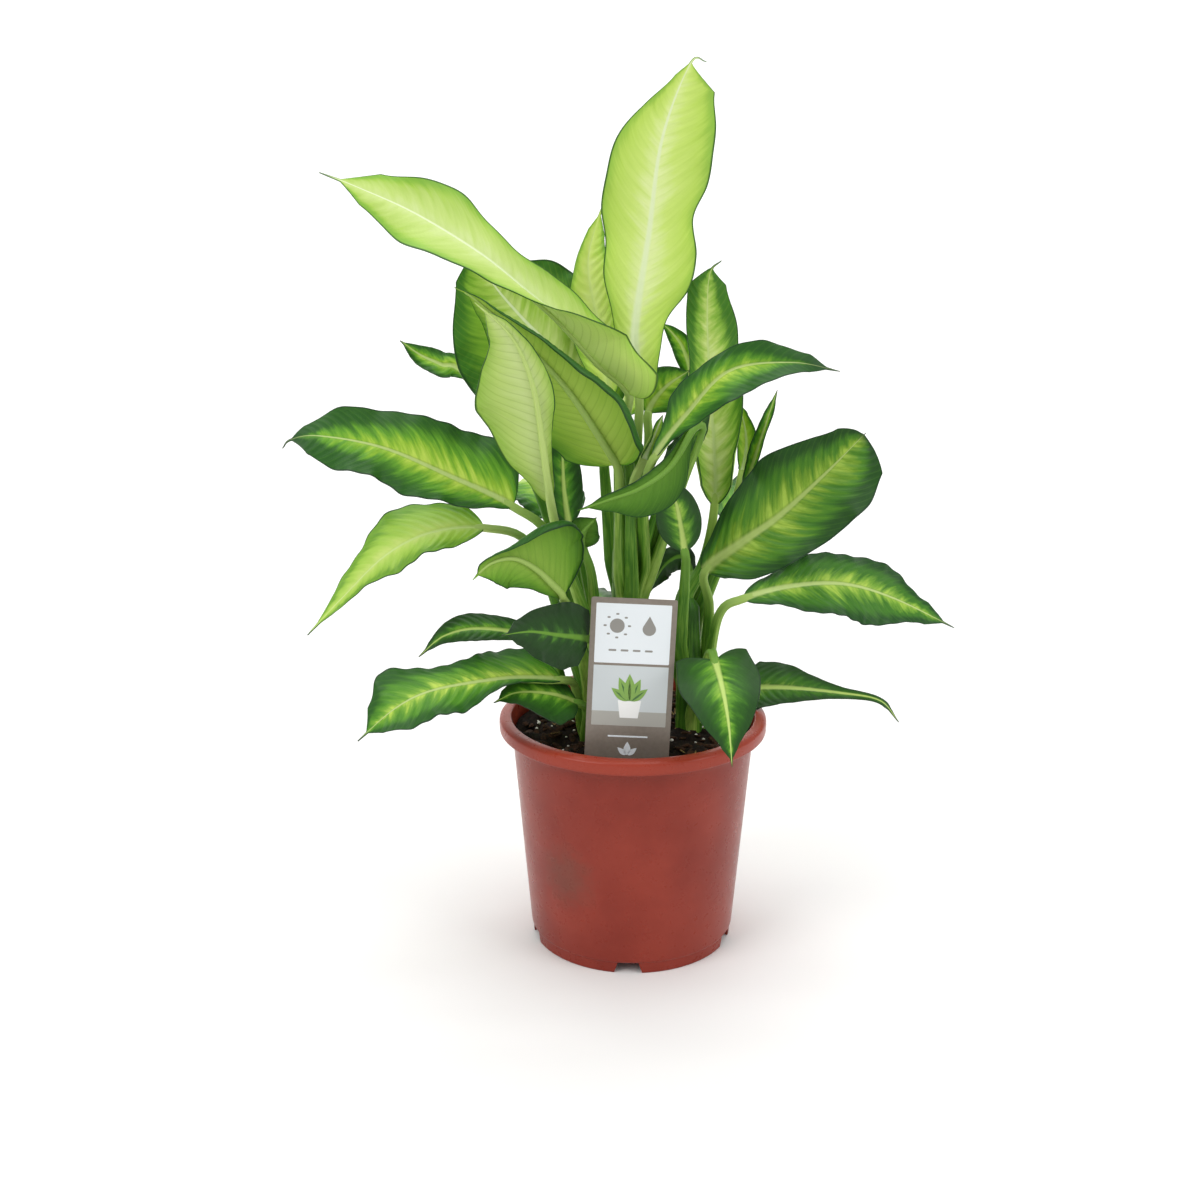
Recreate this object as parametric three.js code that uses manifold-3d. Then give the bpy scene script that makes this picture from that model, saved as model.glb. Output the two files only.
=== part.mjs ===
// A dieffenbachia with cream-hearted leaves, growing in a round nursery pot with a plant label.
// Millimetres, +Z up. The origin is on the floor, under the middle of the pot.
import * as THREE from 'three';
import { mergeVertices } from 'three/addons/utils/BufferGeometryUtils.js';
import Module from 'manifold-3d';

const wasm = await Module();
wasm.setup();

// ---------------------------------------------------------------- driving dimensions, mm

const CLEARANCE = 0.35;            // between pieces that touch on the real plant

const pot = {
  height: 150,
  rimRadius: 85,                   // a 17 cm trade pot is measured across its rim
  rimHeight: 9,
  mouthRadius: 77,
  shoulderRadius: 77,              // outer wall, just under the rim
  footRadius: 64.5,
  wall: 1.6,
  footBand: 7.5,                   // height of the feet, and of the faint line round the wall
  footInset: 0.6,
  floorThickness: 2,
  innerBevel: 4,                   // between the floor and the inner wall
  seam: 0.4,                       // the fine step at the foot band and under the rim
  segments: 48,
  notches: { count: 5, firstBearing: -93, bottomWidth: 18, topWidth: 13 },
  drainHoles: { count: 8, radius: 4.5, ring: 44, segments: 12 },
};

const soil = {
  level: 141,
  relief: 1.6,
  rings: 6,
  segments: 36,
  waves: [[0.13, 0.07], [-0.05, 0.16]],   // radians a millimetre in x and y
};

const label = {
  width: 51,
  height: 101,                     // above the soil
  buried: 44,
  spikeStart: 15,                  // below the soil, where the stake begins to narrow
  spikeWidth: 13,
  thickness: 0.8,
  cornerRadius: 1.5,
  foot: [-5, -59],                 // where its middle enters the soil
  leanRight: 2.6,                  // degrees, seen from the front
  leanBack: 2,
};

const petiole = { rootRadius: 3.6, jointRadius: 2.7, steps: 4 };

const blade = {
  thickness: 0.9,
  ribDepth: 2.2,                   // how far the midrib stands out under the base of a blade
  tipHalfWidth: 0.9,
  flatWidth: 4.5,                  // a half narrower than about this goes flat
  tipStart: 0.95,                  // the drip tip takes up the last part of the blade
  lobeReach: 0.35,                 // how far along the blade its basal lobes are felt
  widest: 0.42,                    // where a plain leaf outline is widest, as a share of its length
  taper: 0.85,                     // how full a plain outline stays towards the tip
  curlSteps: 8,
  marginCrowding: 0.9,             // below 1, the lines along a blade draw towards its margins
  endCrowding: 0.4,                // above 0, the lines across a blade draw towards its ends
  faceAt: 0.4,                     // where along the blade the table's face holds
  wavePhase: 2,                    // radians by which the left margin's waves lead the right one's
};

const curveSamples = { perSpan: 40, frames: 120 };

// Each cane is a bundle of leaf sheaths round a fleshy stem. foot and top are points on its axis.
const canes = {
  centre: { foot: [-3, 6, 100], top: [-3, 0, 262], footRadius: 13, topRadius: 10 },
  right: { foot: [37, -2, 104], top: [34, 0, 226], footRadius: 9.5, topRadius: 7 },
  left: { foot: [-31, 14, 104], top: [-26, 6, 196], footRadius: 8.5, topRadius: 6.5 },
  low: { foot: [-22, -24, 110], top: [-22, -22, 164], footRadius: 7, topRadius: 5.5 },
};

const caneGrid = { sides: 16, steps: 4 };

const colour = {
  pot: '#8e3a30',
  soil: '#2c2018',
  label: '#d4d3cf',
  cane: '#4f7f2a',
  pale: '#b9dc62',
  mid: '#7cb53a',
  dark: '#2f6a2a',
};

// ---------------------------------------------------------------- leaves

// seat is the cane, with the height and bearing of the root, or its place on the cane's top.
// line runs from the petiole's bend, over the joint (its second point) and along the midrib to
// the tip. face is where the upper side looks near the middle of the blade. left and right are
// the halves as seen on the upper side with the tip up. width is a half's width in mm: one
// number, its greatest, or a list at even steps along the blade. fold is the rise from the midrib
// and curl the bend on towards the margin, in degrees: one number, or a list from the base to the
// tip. wave is the depth in mm and the count of the waves along a margin. lobe is how far the
// base of the blade reaches back beside the petiole, in mm. across is how many strips each half
// is modelled in (2 if left out), and size picks how many steps a blade has along its length.
const leaves = {
  leaf_crown: {
    tone: 'pale', wave: [2, 3],
    seat: { cane: 'centre', top: [1, 4.6] },
    line: [[2, 9, 325], [3, 10, 350], [0, 12, 389], [8, 14, 446], [15, 4, 501], [30, -8, 542],
      [39, -10, 543]],
    face: [0, -1, 0.1], left: { width: [7, 10, 15, 23, 25, 30, 29, 26, 15, 5] },
    right: { width: [12, 16, 19, 29, 30, 25, 31, 31, 28, 20] },
  },
  leaf_crown_young: {
    tone: 'pale', size: 'small', across: 3,
    seat: { cane: 'centre', top: [-4.8, -2.6] },
    line: [[-10, -3, 320], [-15, 8, 350], [-22, 22, 392], [-28, 30, 430], [-19, 31, 464]],
    face: [-0.1, -1, 0], left: { width: [10, 16, 17, 9, 4] },
    right: { width: [9, 12, 11, 11, 6], fold: 10 },
  },
  leaf_upper_left_long: {
    tone: 'pale', wave: [3, 3], across: 3, lobe: 16,
    seat: { cane: 'centre', top: [4.6, -3.4] },
    line: [[-5, -16, 335], [-4, -20, 358], [-22, -27, 377], [-43, -34, 401], [-64, -40, 420],
      [-88, -46, 440], [-123, -52, 462], [-153, -58, 476], [-173, -62, 484]],
    face: [0.1, -0.75, 0.65],
    left: { width: [32, 28, 24, 22, 25, 24, 10], fold: [72, 108, 60, 36, 20, 5, 0] },
    right: { width: [22, 22, 16, 27, 14] },
  },
  leaf_upper_left_broad: {
    tone: 'pale', wave: [3, 3],
    seat: { cane: 'centre', height: 250, bearing: 140 },
    line: [[-18, 24, 300], [-21, 26, 334], [-42, 28, 368], [-70, 26, 398], [-87, 20, 420],
      [-98, 14, 445]],
    face: [-0.1, -0.95, 0.3], left: { width: [30, 50, 54, 45, 19] },
    right: { width: [28, 40, 42, 37, 16] },
  },
  leaf_centre_arched: {
    tone: 'mid', wave: [2, 3], across: 3, lobe: 6,
    seat: { cane: 'centre', height: 248, bearing: -112 },
    line: [[-9, -16, 295], [-11, -22, 315], [-23, -30, 338], [-41, -42, 366], [-64, -56, 393],
      [-89, -70, 417], [-100, -76, 424]],
    face: [0.28, 0.86, 0.42], left: { width: [30, 36, 30, 20, 12, 5], curl: -30 },
    right: { width: [32, 38, 34, 24, 8] },
  },
  leaf_centre_upright: {
    tone: 'pale', wave: [2, 3], across: 3,
    seat: { cane: 'left', height: 186, bearing: -60 },
    line: [[-44, -30, 268], [-50, -42, 297], [-54, -62, 337], [-58, -80, 371], [-68, -94, 399],
      [-87, -106, 419]],
    face: [-0.2, 0.95, 0.2], left: { width: [4, 5, 8, 11, 8, 4], curl: -40 },
    right: { width: [9, 21, 28, 34, 24, 9] },
  },
  leaf_left_big: {
    tone: 'mid', wave: [3, 3],
    seat: { cane: 'left', height: 188, bearing: -150 },
    line: [[-50, -18, 266], [-73, -24, 290], [-110, -30, 310], [-148, -36, 328], [-184, -42, 336],
      [-200, -44, 334], [-205, -44, 329]],
    face: [0.15, -0.7, 0.7], left: { width: [7, 15, 20, 24, 22, 22, 20, 12] },
    right: { width: [30, 38, 35, 31, 29, 24, 20, 7] },
  },
  leaf_front_left_cupped: {
    tone: 'mid', wave: [2, 2], across: 3,
    seat: { cane: 'left', height: 172, bearing: -100 },
    line: [[-36, -42, 222], [-43, -56, 242], [-51, -67, 255], [-60, -75, 266], [-71, -82, 273],
      [-83, -90, 272], [-92, -98, 265]],
    face: [-0.5, 0.8, -0.3],
    left: { width: [28, 34, 38, 42, 36, 12, 6, 4], curl: [0, 0, -60, -150, -90, 0] },
    right: { width: [4, 8, 12, 16, 17, 12] },
  },
  leaf_left_drooping: {
    tone: 'pale', wave: [3, 3],
    seat: { cane: 'left', height: 184, bearing: 165 },
    line: [[-62, 2, 257], [-92, -8, 273], [-124, -16, 272], [-151, -22, 259], [-176, -26, 235],
      [-199, -30, 211]],
    face: [-0.2, -0.6, 0.75], left: { width: [12, 17, 15, 8, 3] },
    right: { width: [17, 28, 22, 13, 4] },
  },
  leaf_left_inner: {
    tone: 'dark', size: 'small',
    seat: { cane: 'left', top: [-3.2, 1.4] },
    line: [[-37, -4, 250], [-40, -2, 273], [-43, 3, 295], [-44, 8, 317], [-46, 12, 333]],
    face: [0.2, -0.9, 0.2], left: { width: 12 }, right: { width: 12 },
  },
  leaf_small_inner: {
    tone: 'dark', size: 'small',
    seat: { cane: 'left', top: [3.4, -1.8] },
    line: [[-26, -16, 245], [-31, -22, 264], [-30, -28, 276], [-23, -36, 286]],
    face: [0.3, 0.8, 0.4], left: { width: 10 }, right: { width: 10 },
  },
  leaf_centre_under: {
    tone: 'mid',
    seat: { cane: 'centre', height: 244, bearing: -20 },
    line: [[28, -12, 300], [39, -18, 333], [33, -27, 337], [19, -43, 318], [2, -55, 308],
      [-16, -59, 302], [-34, -61, 296]],
    face: [0.2, 0.9, 0.4], left: { width: [3, 5, 6, 5, 3] }, right: { width: [3, 9, 19, 17, 6] },
  },
  leaf_right_pointing: {
    tone: 'mid', wave: [2, 3],
    seat: { cane: 'centre', height: 252, bearing: -52 },
    line: [[5, -31, 297], [10, -41, 322], [29, -53, 351], [52, -58, 376], [87, -53, 380],
      [116, -46, 374]],
    face: [-0.1, -0.75, 0.65], left: { width: [5, 13, 12, 12, 6], fold: 25 },
    right: { width: [3, 11, 20, 14, 6], fold: 15 },
  },
  leaf_centre_furled: {
    tone: 'pale', size: 'small', across: 3,
    seat: { cane: 'centre', height: 236, bearing: -84 },
    line: [[-2, -24, 296], [5, -23, 318], [10, -23, 330], [16, -24, 345]],
    face: [0.3, -1, 0], left: { width: 6, fold: 30, curl: 90 }, right: { width: 6, fold: 30, curl: 90 },
  },
  leaf_centre_dark: {
    tone: 'dark', size: 'medium', wave: [2, 3],
    seat: { cane: 'centre', height: 246, bearing: 10 },
    line: [[16, -2, 272], [18, -6, 291], [24, -10, 312], [34, -11, 330], [47, -9, 350]],
    face: [0.5, -0.8, 0.3], left: { width: 9 }, right: { width: 11 },
  },
  leaf_right_small: {
    tone: 'mid', size: 'small',
    seat: { cane: 'right', height: 200, bearing: -120 },
    line: [[31, -22, 250], [30, -27, 263], [25, -29, 291], [20, -31, 303], [25, -34, 308]],
    face: [0, -1, 0.1], left: { width: 14 }, right: { width: 13 },
  },
  leaf_right_tall: {
    tone: 'pale', wave: [2, 3], across: 3,
    seat: { cane: 'right', top: [0, 2.6] },
    line: [[45, 16, 246], [51, 22, 281], [50, 26, 321], [46, 26, 368], [44, 20, 405],
      [45, 12, 425], [51, 6, 432]],
    face: [0, -1, 0.1], left: { width: [16, 22, 18, 12, 13, 12], fold: [12, 12, 8, 0, 0, 0],
      curl: [110, 120, 60, 0, 0, 0] },








    right: { width: [16, 22, 22, 19, 18, 11], fold: [12, 12, 8, 0, 0, 0],
      curl: [110, 120, 60, 0, 0, 0] },
  },
  leaf_right_furled: {
    tone: 'pale', size: 'small', across: 3,
    seat: { cane: 'right', height: 214, bearing: 92 },
    line: [[59, 40, 253], [70, 44, 297], [72, 46, 319], [67, 48, 341]],
    face: [0, -1, 0], left: { width: 10, fold: 30, curl: 60 }, right: { width: 10, fold: 30, curl: 60 },
  },
  leaf_right_spike: {
    tone: 'mid', size: 'small',
    seat: { cane: 'right', height: 214, bearing: 48 },
    line: [[58, 22, 251], [70, 26, 288], [79, 24, 321], [88, 20, 353]],
    face: [-0.5, -0.9, 0], left: { width: 6, fold: 30, curl: 60 },
    right: { width: 6, fold: 30, curl: 60 },
  },
  leaf_right_big: {
    tone: 'mid', wave: [2, 3],
    seat: { cane: 'right', height: 188, bearing: -6 },
    line: [[47, -2, 222], [44, -4, 244], [65, -8, 263], [88, -14, 282], [113, -22, 309],
      [136, -26, 335]],
    face: [-0.05, -0.9, 0.45], left: { width: [10, 20, 27, 32, 34, 29, 22, 14], tipStart: 0.985 },
    right: { width: [13, 23, 27, 29, 31, 32, 32, 24], tipStart: 0.985 },
  },
  leaf_right_low: {
    tone: 'mid', wave: [3, 3],
    seat: { cane: 'right', height: 172, bearing: -36 },
    line: [[52, -18, 220], [67, -22, 232], [95, -16, 238], [128, -10, 238], [160, -6, 228],
      [201, -2, 207]],
    face: [0, -0.7, 0.7], left: { width: [9, 18, 23, 19, 9] }, right: { width: [10, 19, 25, 21, 8] },
  },
  leaf_front_heart: {
    tone: 'dark', size: 'medium', lobe: 22,
    seat: { cane: 'right', height: 160, bearing: -76 },
    line: [[45, -42, 203], [47, -60, 205], [50, -82, 196], [53, -96, 179], [55, -104, 155]],
    face: [-0.1, -0.75, 0.7], left: { width: [20, 23, 20, 13, 4] },
    right: { width: [23, 25, 20, 14, 5] },
  },
  leaf_right_lowest: {
    tone: 'dark', size: 'medium', wave: [2, 2],
    seat: { cane: 'right', height: 148, bearing: 20 },
    line: [[56, 14, 157], [73, 18, 160], [101, 10, 163], [132, 0, 163], [156, -6, 160],
      [168, -10, 147]],
    face: [0, -0.7, 0.7], left: { width: [19, 18, 10, 5, 3, 2] },
    right: { width: [17, 12, 8, 5, 3, 2] },
  },
  leaf_left_lowest: {
    tone: 'mid', size: 'medium', wave: [3, 3],
    seat: { cane: 'low', height: 150, bearing: 170 },
    line: [[-36, -26, 177], [-44, -40, 186], [-69, -56, 193], [-94, -70, 195], [-121, -82, 193],
      [-140, -90, 185], [-161, -94, 167]],
    face: [0.1, -0.45, 0.9], left: { width: [4, 4, 7, 13, 21, 22, 18, 8] },
    right: { width: [20, 26, 25, 18, 18, 22, 26, 14] },
  },
  leaf_front_soil: {
    tone: 'dark', size: 'medium',
    seat: { cane: 'low', height: 146, bearing: -140 },
    line: [[-29, -36, 165], [-35, -42, 172], [-50, -49, 180], [-70, -58, 184], [-84, -65, 180]],
    face: [0, -0.5, 0.85], left: { width: [16, 24, 22, 13, 6] }, right: { width: [10, 15, 15, 11, 5] },
  },
  leaf_front_dark: {
    tone: 'dark', size: 'medium', wave: [2, 2],
    seat: { cane: 'low', top: [0, 0] },
    line: [[-21, -38, 206], [-28, -50, 215], [-44, -68, 223], [-61, -80, 229], [-77, -90, 230]],
    face: [0.1, -0.96, 0.28], left: { width: [17, 20, 18, 14, 7] },
    right: { width: [17, 20, 18, 14, 7] },
  },
  leaf_left_folded: {
    tone: 'dark', size: 'small',
    seat: { cane: 'left', height: 142, bearing: -160 },
    line: [[-50, 6, 186], [-65, 6, 199], [-96, 0, 206], [-118, -6, 203], [-134, -12, 191]],
    face: [0.1, -0.6, 0.8], left: { width: [6, 8, 10, 7, 3] }, right: { width: [9, 11, 12, 9, 3] },
  },
  leaf_far_left_small: {
    tone: 'mid', size: 'small',
    seat: { cane: 'left', height: 190, bearing: 118 },
    line: [[-62, 42, 290], [-105, 56, 355], [-122, 56, 364], [-135, 56, 370], [-147, 54, 379]],
    face: [0.1, -0.8, 0.6], left: { width: 9 }, right: { width: 9 },
  },
  leaf_crown_small: {
    tone: 'mid', size: 'small',
    seat: { cane: 'centre', height: 250, bearing: 42 },
    line: [[32, 44, 324], [37, 54, 354], [32, 56, 373], [25, 58, 383], [17, 60, 390]],
    face: [0, -1, 0.2], left: { width: 7 }, right: { width: 7 },
  },
  leaf_centre_back: {
    tone: 'mid', size: 'medium',
    seat: { cane: 'centre', height: 248, bearing: 74 },
    line: [[9, 22, 315], [9, 26, 338], [19, 28, 353], [35, 30, 364]],
    face: [-0.3, -0.9, 0.3], left: { width: 15 }, right: { width: 15 },
  },
  leaf_back_wavy: {
    tone: 'dark', size: 'small', wave: [3, 2],
    seat: { cane: 'right', height: 190, bearing: 140 },
    line: [[30, 20, 220], [38, 36, 232], [32, 44, 241], [21, 50, 233], [12, 54, 214]],
    face: [0, -0.8, 0.5], left: { width: 9 }, right: { width: 9 },
  },
  leaf_back_left: {
    tone: 'mid', size: 'medium', wave: [3, 3],
    seat: { cane: 'left', height: 168, bearing: 48 },
    line: [[-34, 40, 240], [-42, 56, 262], [-58, 76, 280], [-74, 94, 280], [-86, 107, 268]],
    face: [-0.3, 0.1, 0.95], left: { width: 26 }, right: { width: 26 },
  },
  leaf_back_right: {
    tone: 'mid', size: 'medium', wave: [3, 3],
    seat: { cane: 'right', height: 186, bearing: 70 },
    line: [[52, 42, 244], [62, 56, 262], [78, 75, 275], [92, 92, 275], [103, 105, 263]],
    face: [0.3, 0.1, 0.95], left: { width: 24 }, right: { width: 24 },
  },
  leaf_back_upper: {
    tone: 'pale', size: 'medium', wave: [3, 3],
    seat: { cane: 'centre', height: 246, bearing: 106 },
    line: [[-5, 44, 305], [-6, 58, 330], [-8, 78, 352], [-8, 94, 360], [-8, 108, 358]],
    face: [0, -0.4, 0.9], left: { width: 27 }, right: { width: 27 },
  },
  leaf_back_low: {
    tone: 'dark', size: 'medium', wave: [2, 2],
    seat: { cane: 'centre', height: 165, bearing: 110 },
    line: [[-14, 40, 196], [-18, 52, 206], [-30, 74, 210], [-40, 92, 203], [-47, 106, 188]],
    face: [0, 0.3, 0.95], left: { width: 20 }, right: { width: 20 },
  },
};

const leafSteps = { big: 11, medium: 9, small: 7 };

// ---------------------------------------------------------------- small tools

const radians = THREE.MathUtils.degToRad;

const vector = (x, y, z) => new THREE.Vector3(x, y, z);

const mix = THREE.MathUtils.lerp;

// A value given as one number, or as a list at even steps from the base to the tip.
function along(value, t) {
  if (!Array.isArray(value)) return value;
  const place = t * (value.length - 1);
  const k = Math.min(Math.floor(place), value.length - 2);
  return mix(value[k], value[k + 1], place - k);
}

const skin = (hex, roughness) => new THREE.MeshStandardMaterial({ color: hex, roughness, metalness: 0 });

// Keeps positions only, joins equal vertices and drops the flat triangles at the poles.
function closed(geometry) {
  const bare = geometry.index ? geometry.toNonIndexed() : geometry.clone();
  bare.deleteAttribute('normal');
  bare.deleteAttribute('uv');
  const merged = mergeVertices(bare, 1e-4);
  const faces = [];
  for (let i = 0; i < merged.index.count; i += 3) {
    const [a, b, c] = [0, 1, 2].map((k) => merged.index.getX(i + k));
    if (a !== b && b !== c && c !== a) faces.push(a, b, c);
  }
  merged.setIndex(faces);
  return merged;
}

function toSolid(geometry) {
  const ready = closed(geometry);
  return new wasm.Manifold(new wasm.Mesh({
    numProp: 3,
    vertProperties: new Float32Array(ready.attributes.position.array),
    triVerts: new Uint32Array(ready.index.array),
  }));
}

function toGeometry(solid) {
  const { vertProperties, triVerts } = solid.getMesh();
  const geometry = new THREE.BufferGeometry();
  geometry.setAttribute('position', new THREE.BufferAttribute(vertProperties, 3));
  geometry.setIndex(new THREE.BufferAttribute(triVerts, 1));
  return geometry;
}

function enclosedVolume(points, faces) {
  let sum = 0;
  for (let i = 0; i < faces.length; i += 3) {
    const [a, b, c] = [0, 1, 2].map((k) => points[faces[i + k]]);
    sum += a.dot(vector().crossVectors(b, c));
  }
  return sum / 6;
}

// Joins rings of equally many points into one closed skin, with its faces pointing out. From the
// place backFrom on, quads are split the other way, so that a blade's two faces are split alike.
function loft(rings, backFrom = Infinity) {
  const count = rings[0].length;
  const points = rings.flat();
  const faces = [];
  for (let i = 0; i + 1 < rings.length; i += 1) {
    for (let j = 0; j < count; j += 1) {
      const k = (j + 1) % count;
      const [a, b, c, d] = [i * count + j, i * count + k, (i + 1) * count + k, (i + 1) * count + j];
      if (j < backFrom) faces.push(a, b, c, a, c, d);
      else faces.push(a, b, d, b, c, d);
    }
  }
  const lastRing = (rings.length - 1) * count;
  for (const [start, flip] of [[0, true], [lastRing, false]]) {
    const centre = vector();
    for (let j = 0; j < count; j += 1) centre.addScaledVector(points[start + j], 1 / count);
    points.push(centre);
    for (let j = 0; j < count; j += 1) {
      const edge = [start + j, start + ((j + 1) % count)];
      if (flip) edge.reverse();
      faces.push(edge[0], edge[1], points.length - 1);
    }
  }
  if (enclosedVolume(points, faces) < 0) faces.reverse();
  const geometry = new THREE.BufferGeometry().setFromPoints(points);
  geometry.setIndex(faces);
  return geometry;
}

// ---------------------------------------------------------------- pot

const shoulderHeight = pot.height - pot.rimHeight;
const floorTop = pot.footBand + pot.floorThickness;

function outerRadius(z) {
  const foot = pot.footRadius + pot.footInset;
  return mix(foot, pot.shoulderRadius, z / shoulderHeight);
}

const innerRadius = (z) => outerRadius(z) - pot.wall;

function potShell() {
  const { height, rimRadius, mouthRadius, wall, footRadius, footBand, innerBevel, seam } = pot;
  const roundness = 3;
  const profile = [
    [0, footBand], [footRadius - wall, footBand], [footRadius - wall, 0], [footRadius, 0],
    [footRadius + seam, footBand], [outerRadius(footBand), footBand + seam],
    [outerRadius(shoulderHeight), shoulderHeight], [pot.shoulderRadius + seam, height - wall - 0.6],
    [rimRadius - wall - 1, height - wall - 0.6], [rimRadius - wall, height - wall - 2],
    [rimRadius - wall, shoulderHeight], [rimRadius - 0.3, shoulderHeight],
    [rimRadius, shoulderHeight + 1.5], [rimRadius, height - roundness - 0.6],
    [rimRadius - 1, height - 1.2], [rimRadius - roundness, height],
    [mouthRadius + 1.2, height], [mouthRadius, height - 1],
    [innerRadius(shoulderHeight), shoulderHeight],
    [innerRadius(floorTop + innerBevel), floorTop + innerBevel],
    [innerRadius(floorTop) - innerBevel, floorTop], [0, floorTop],
  ];
  const outline = profile.map(([r, z]) => new THREE.Vector2(r, z));
  return new THREE.LatheGeometry(outline, pot.segments).rotateX(Math.PI / 2);
}

// A trapezoid prism that crosses the foot ring at one bearing.
function notchCutter(bearing) {
  const { bottomWidth, topWidth } = pot.notches;
  const low = -1;
  const flare = (bottomWidth - topWidth) / 2 / pot.footBand;
  const shape = new THREE.Shape([
    new THREE.Vector2(-bottomWidth / 2 + low * flare, low),
    new THREE.Vector2(bottomWidth / 2 - low * flare, low),
    new THREE.Vector2(topWidth / 2, pot.footBand),
    new THREE.Vector2(-topWidth / 2, pot.footBand),
  ]);
  const reach = 12;
  const prism = new THREE.ExtrudeGeometry(shape, { depth: reach, bevelEnabled: false });
  prism.rotateX(Math.PI / 2).rotateZ(Math.PI / 2);
  prism.translate(pot.footRadius - reach / 2, 0, 0);
  return prism.rotateZ(radians(bearing));
}

function drainCutter(bearing) {
  const { radius, ring, segments } = pot.drainHoles;
  const depth = pot.floorThickness + 4;
  const drill = new THREE.CylinderGeometry(radius, radius, depth, segments).rotateX(Math.PI / 2);
  return drill.translate(ring, 0, pot.footBand + pot.floorThickness / 2).rotateZ(radians(bearing));
}

function makePot() {
  let body = toSolid(potShell());
  const { notches, drainHoles } = pot;
  for (let i = 0; i < notches.count; i += 1) {
    body = body.subtract(toSolid(notchCutter(notches.firstBearing + (i * 360) / notches.count)));
  }
  for (let i = 0; i < drainHoles.count; i += 1) {
    body = body.subtract(toSolid(drainCutter((i * 360) / drainHoles.count)));
  }
  return toGeometry(body);
}

// ---------------------------------------------------------------- canes

const caneAxis = (cane, z) => {
  const [foot, top] = [vector(...cane.foot), vector(...cane.top)];
  return foot.lerp(top, (z - cane.foot[2]) / (cane.top[2] - cane.foot[2]));
};

const caneRadius = (cane, z) => (
  mix(cane.footRadius, cane.topRadius, (z - cane.foot[2]) / (cane.top[2] - cane.foot[2]))
);

function caneGeometry(cane, extra = 0) {
  const { sides, steps } = caneGrid;
  const rings = [];
  for (let i = 0; i <= steps; i += 1) {
    const end = i === 0 ? -extra : 0;
    const z = mix(cane.foot[2], cane.top[2], i / steps) + end;
    const middle = caneAxis(cane, z);
    const radius = caneRadius(cane, z) + extra;
    const ring = [];
    for (let j = 0; j < sides; j += 1) {
      const angle = (j * 2 * Math.PI) / sides;
      ring.push(vector(middle.x + radius * Math.cos(angle), middle.y + radius * Math.sin(angle), z));
    }
    rings.push(ring);
  }
  return loft(rings);
}

// ---------------------------------------------------------------- label

function labelGeometry(extra = 0) {
  const { width, height, buried, spikeStart, spikeWidth, thickness, cornerRadius } = label;
  const half = width / 2 + extra;
  const spike = spikeWidth / 2 + extra;
  const shape = new THREE.Shape();
  shape.moveTo(-half, height - cornerRadius);
  shape.lineTo(-half, -spikeStart);
  shape.lineTo(-spike, -buried - extra);
  shape.lineTo(spike, -buried - extra);
  shape.lineTo(half, -spikeStart);
  shape.lineTo(half, height - cornerRadius);
  shape.lineTo(half - cornerRadius, height);
  shape.lineTo(-half + cornerRadius, height);
  shape.closePath();
  const depth = thickness + 2 * extra;
  const card = new THREE.ExtrudeGeometry(shape, { depth, bevelEnabled: false });
  card.translate(0, 0, -depth / 2).rotateX(Math.PI / 2);
  card.rotateX(radians(-label.leanBack)).rotateY(radians(label.leanRight));
  return card.translate(label.foot[0], label.foot[1], soil.level);
}

// ---------------------------------------------------------------- soil

function soilHeight(x, y) {
  const [long, cross] = soil.waves;
  const swell = Math.sin(x * long[0] + y * long[1]) + Math.cos(x * cross[0] + y * cross[1]);
  return soil.level + (soil.relief * swell) / 2;
}

function soilBed() {
  const bottom = floorTop + CLEARANCE;
  const ringAt = (radius, height) => {
    const ring = [];
    for (let j = 0; j < soil.segments; j += 1) {
      const angle = (j * 2 * Math.PI) / soil.segments;
      const [x, y] = [radius * Math.cos(angle), radius * Math.sin(angle)];
      ring.push(vector(x, y, height ?? soilHeight(x, y)));
    }
    return ring;
  };
  const edge = innerRadius(soil.level - soil.relief) - CLEARANCE - 0.1;
  const corner = innerRadius(floorTop) - pot.innerBevel - CLEARANCE;
  const bevelTop = floorTop + pot.innerBevel;
  const rings = [ringAt(corner, bottom), ringAt(innerRadius(bevelTop) - CLEARANCE - 0.3, bevelTop)];
  for (let i = 0; i < soil.rings; i += 1) rings.push(ringAt(edge * (1 - i / soil.rings)));
  return loft(rings);
}

function makeSoil() {
  let bed = toSolid(soilBed());
  for (const cane of Object.values(canes)) bed = bed.subtract(toSolid(caneGeometry(cane, CLEARANCE)));
  return toGeometry(bed.subtract(toSolid(labelGeometry(CLEARANCE))));
}

// ---------------------------------------------------------------- leaf formula

// The root of a petiole that heads for its bend, just clear of the cane that carries it.
function rootPoint(seat, bend) {
  const cane = canes[seat.cane];
  const radius = petiole.rootRadius;
  if (seat.top) {
    const root = vector(cane.top[0] + seat.top[0], cane.top[1] + seat.top[1], cane.top[2]);
    const tilt = bend.clone().sub(root).normalize();
    root.z += CLEARANCE + radius * Math.hypot(tilt.x, tilt.y);
    return root;
  }
  const angle = radians(seat.bearing);
  const outward = vector(Math.cos(angle), Math.sin(angle), 0);
  const skinPoint = caneAxis(cane, seat.height).addScaledVector(outward, caneRadius(cane, seat.height));
  const heading = bend.clone().sub(skinPoint).normalize().dot(outward);
  return skinPoint.addScaledVector(outward, CLEARANCE + radius * Math.sqrt(1 - heading * heading));
}

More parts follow.
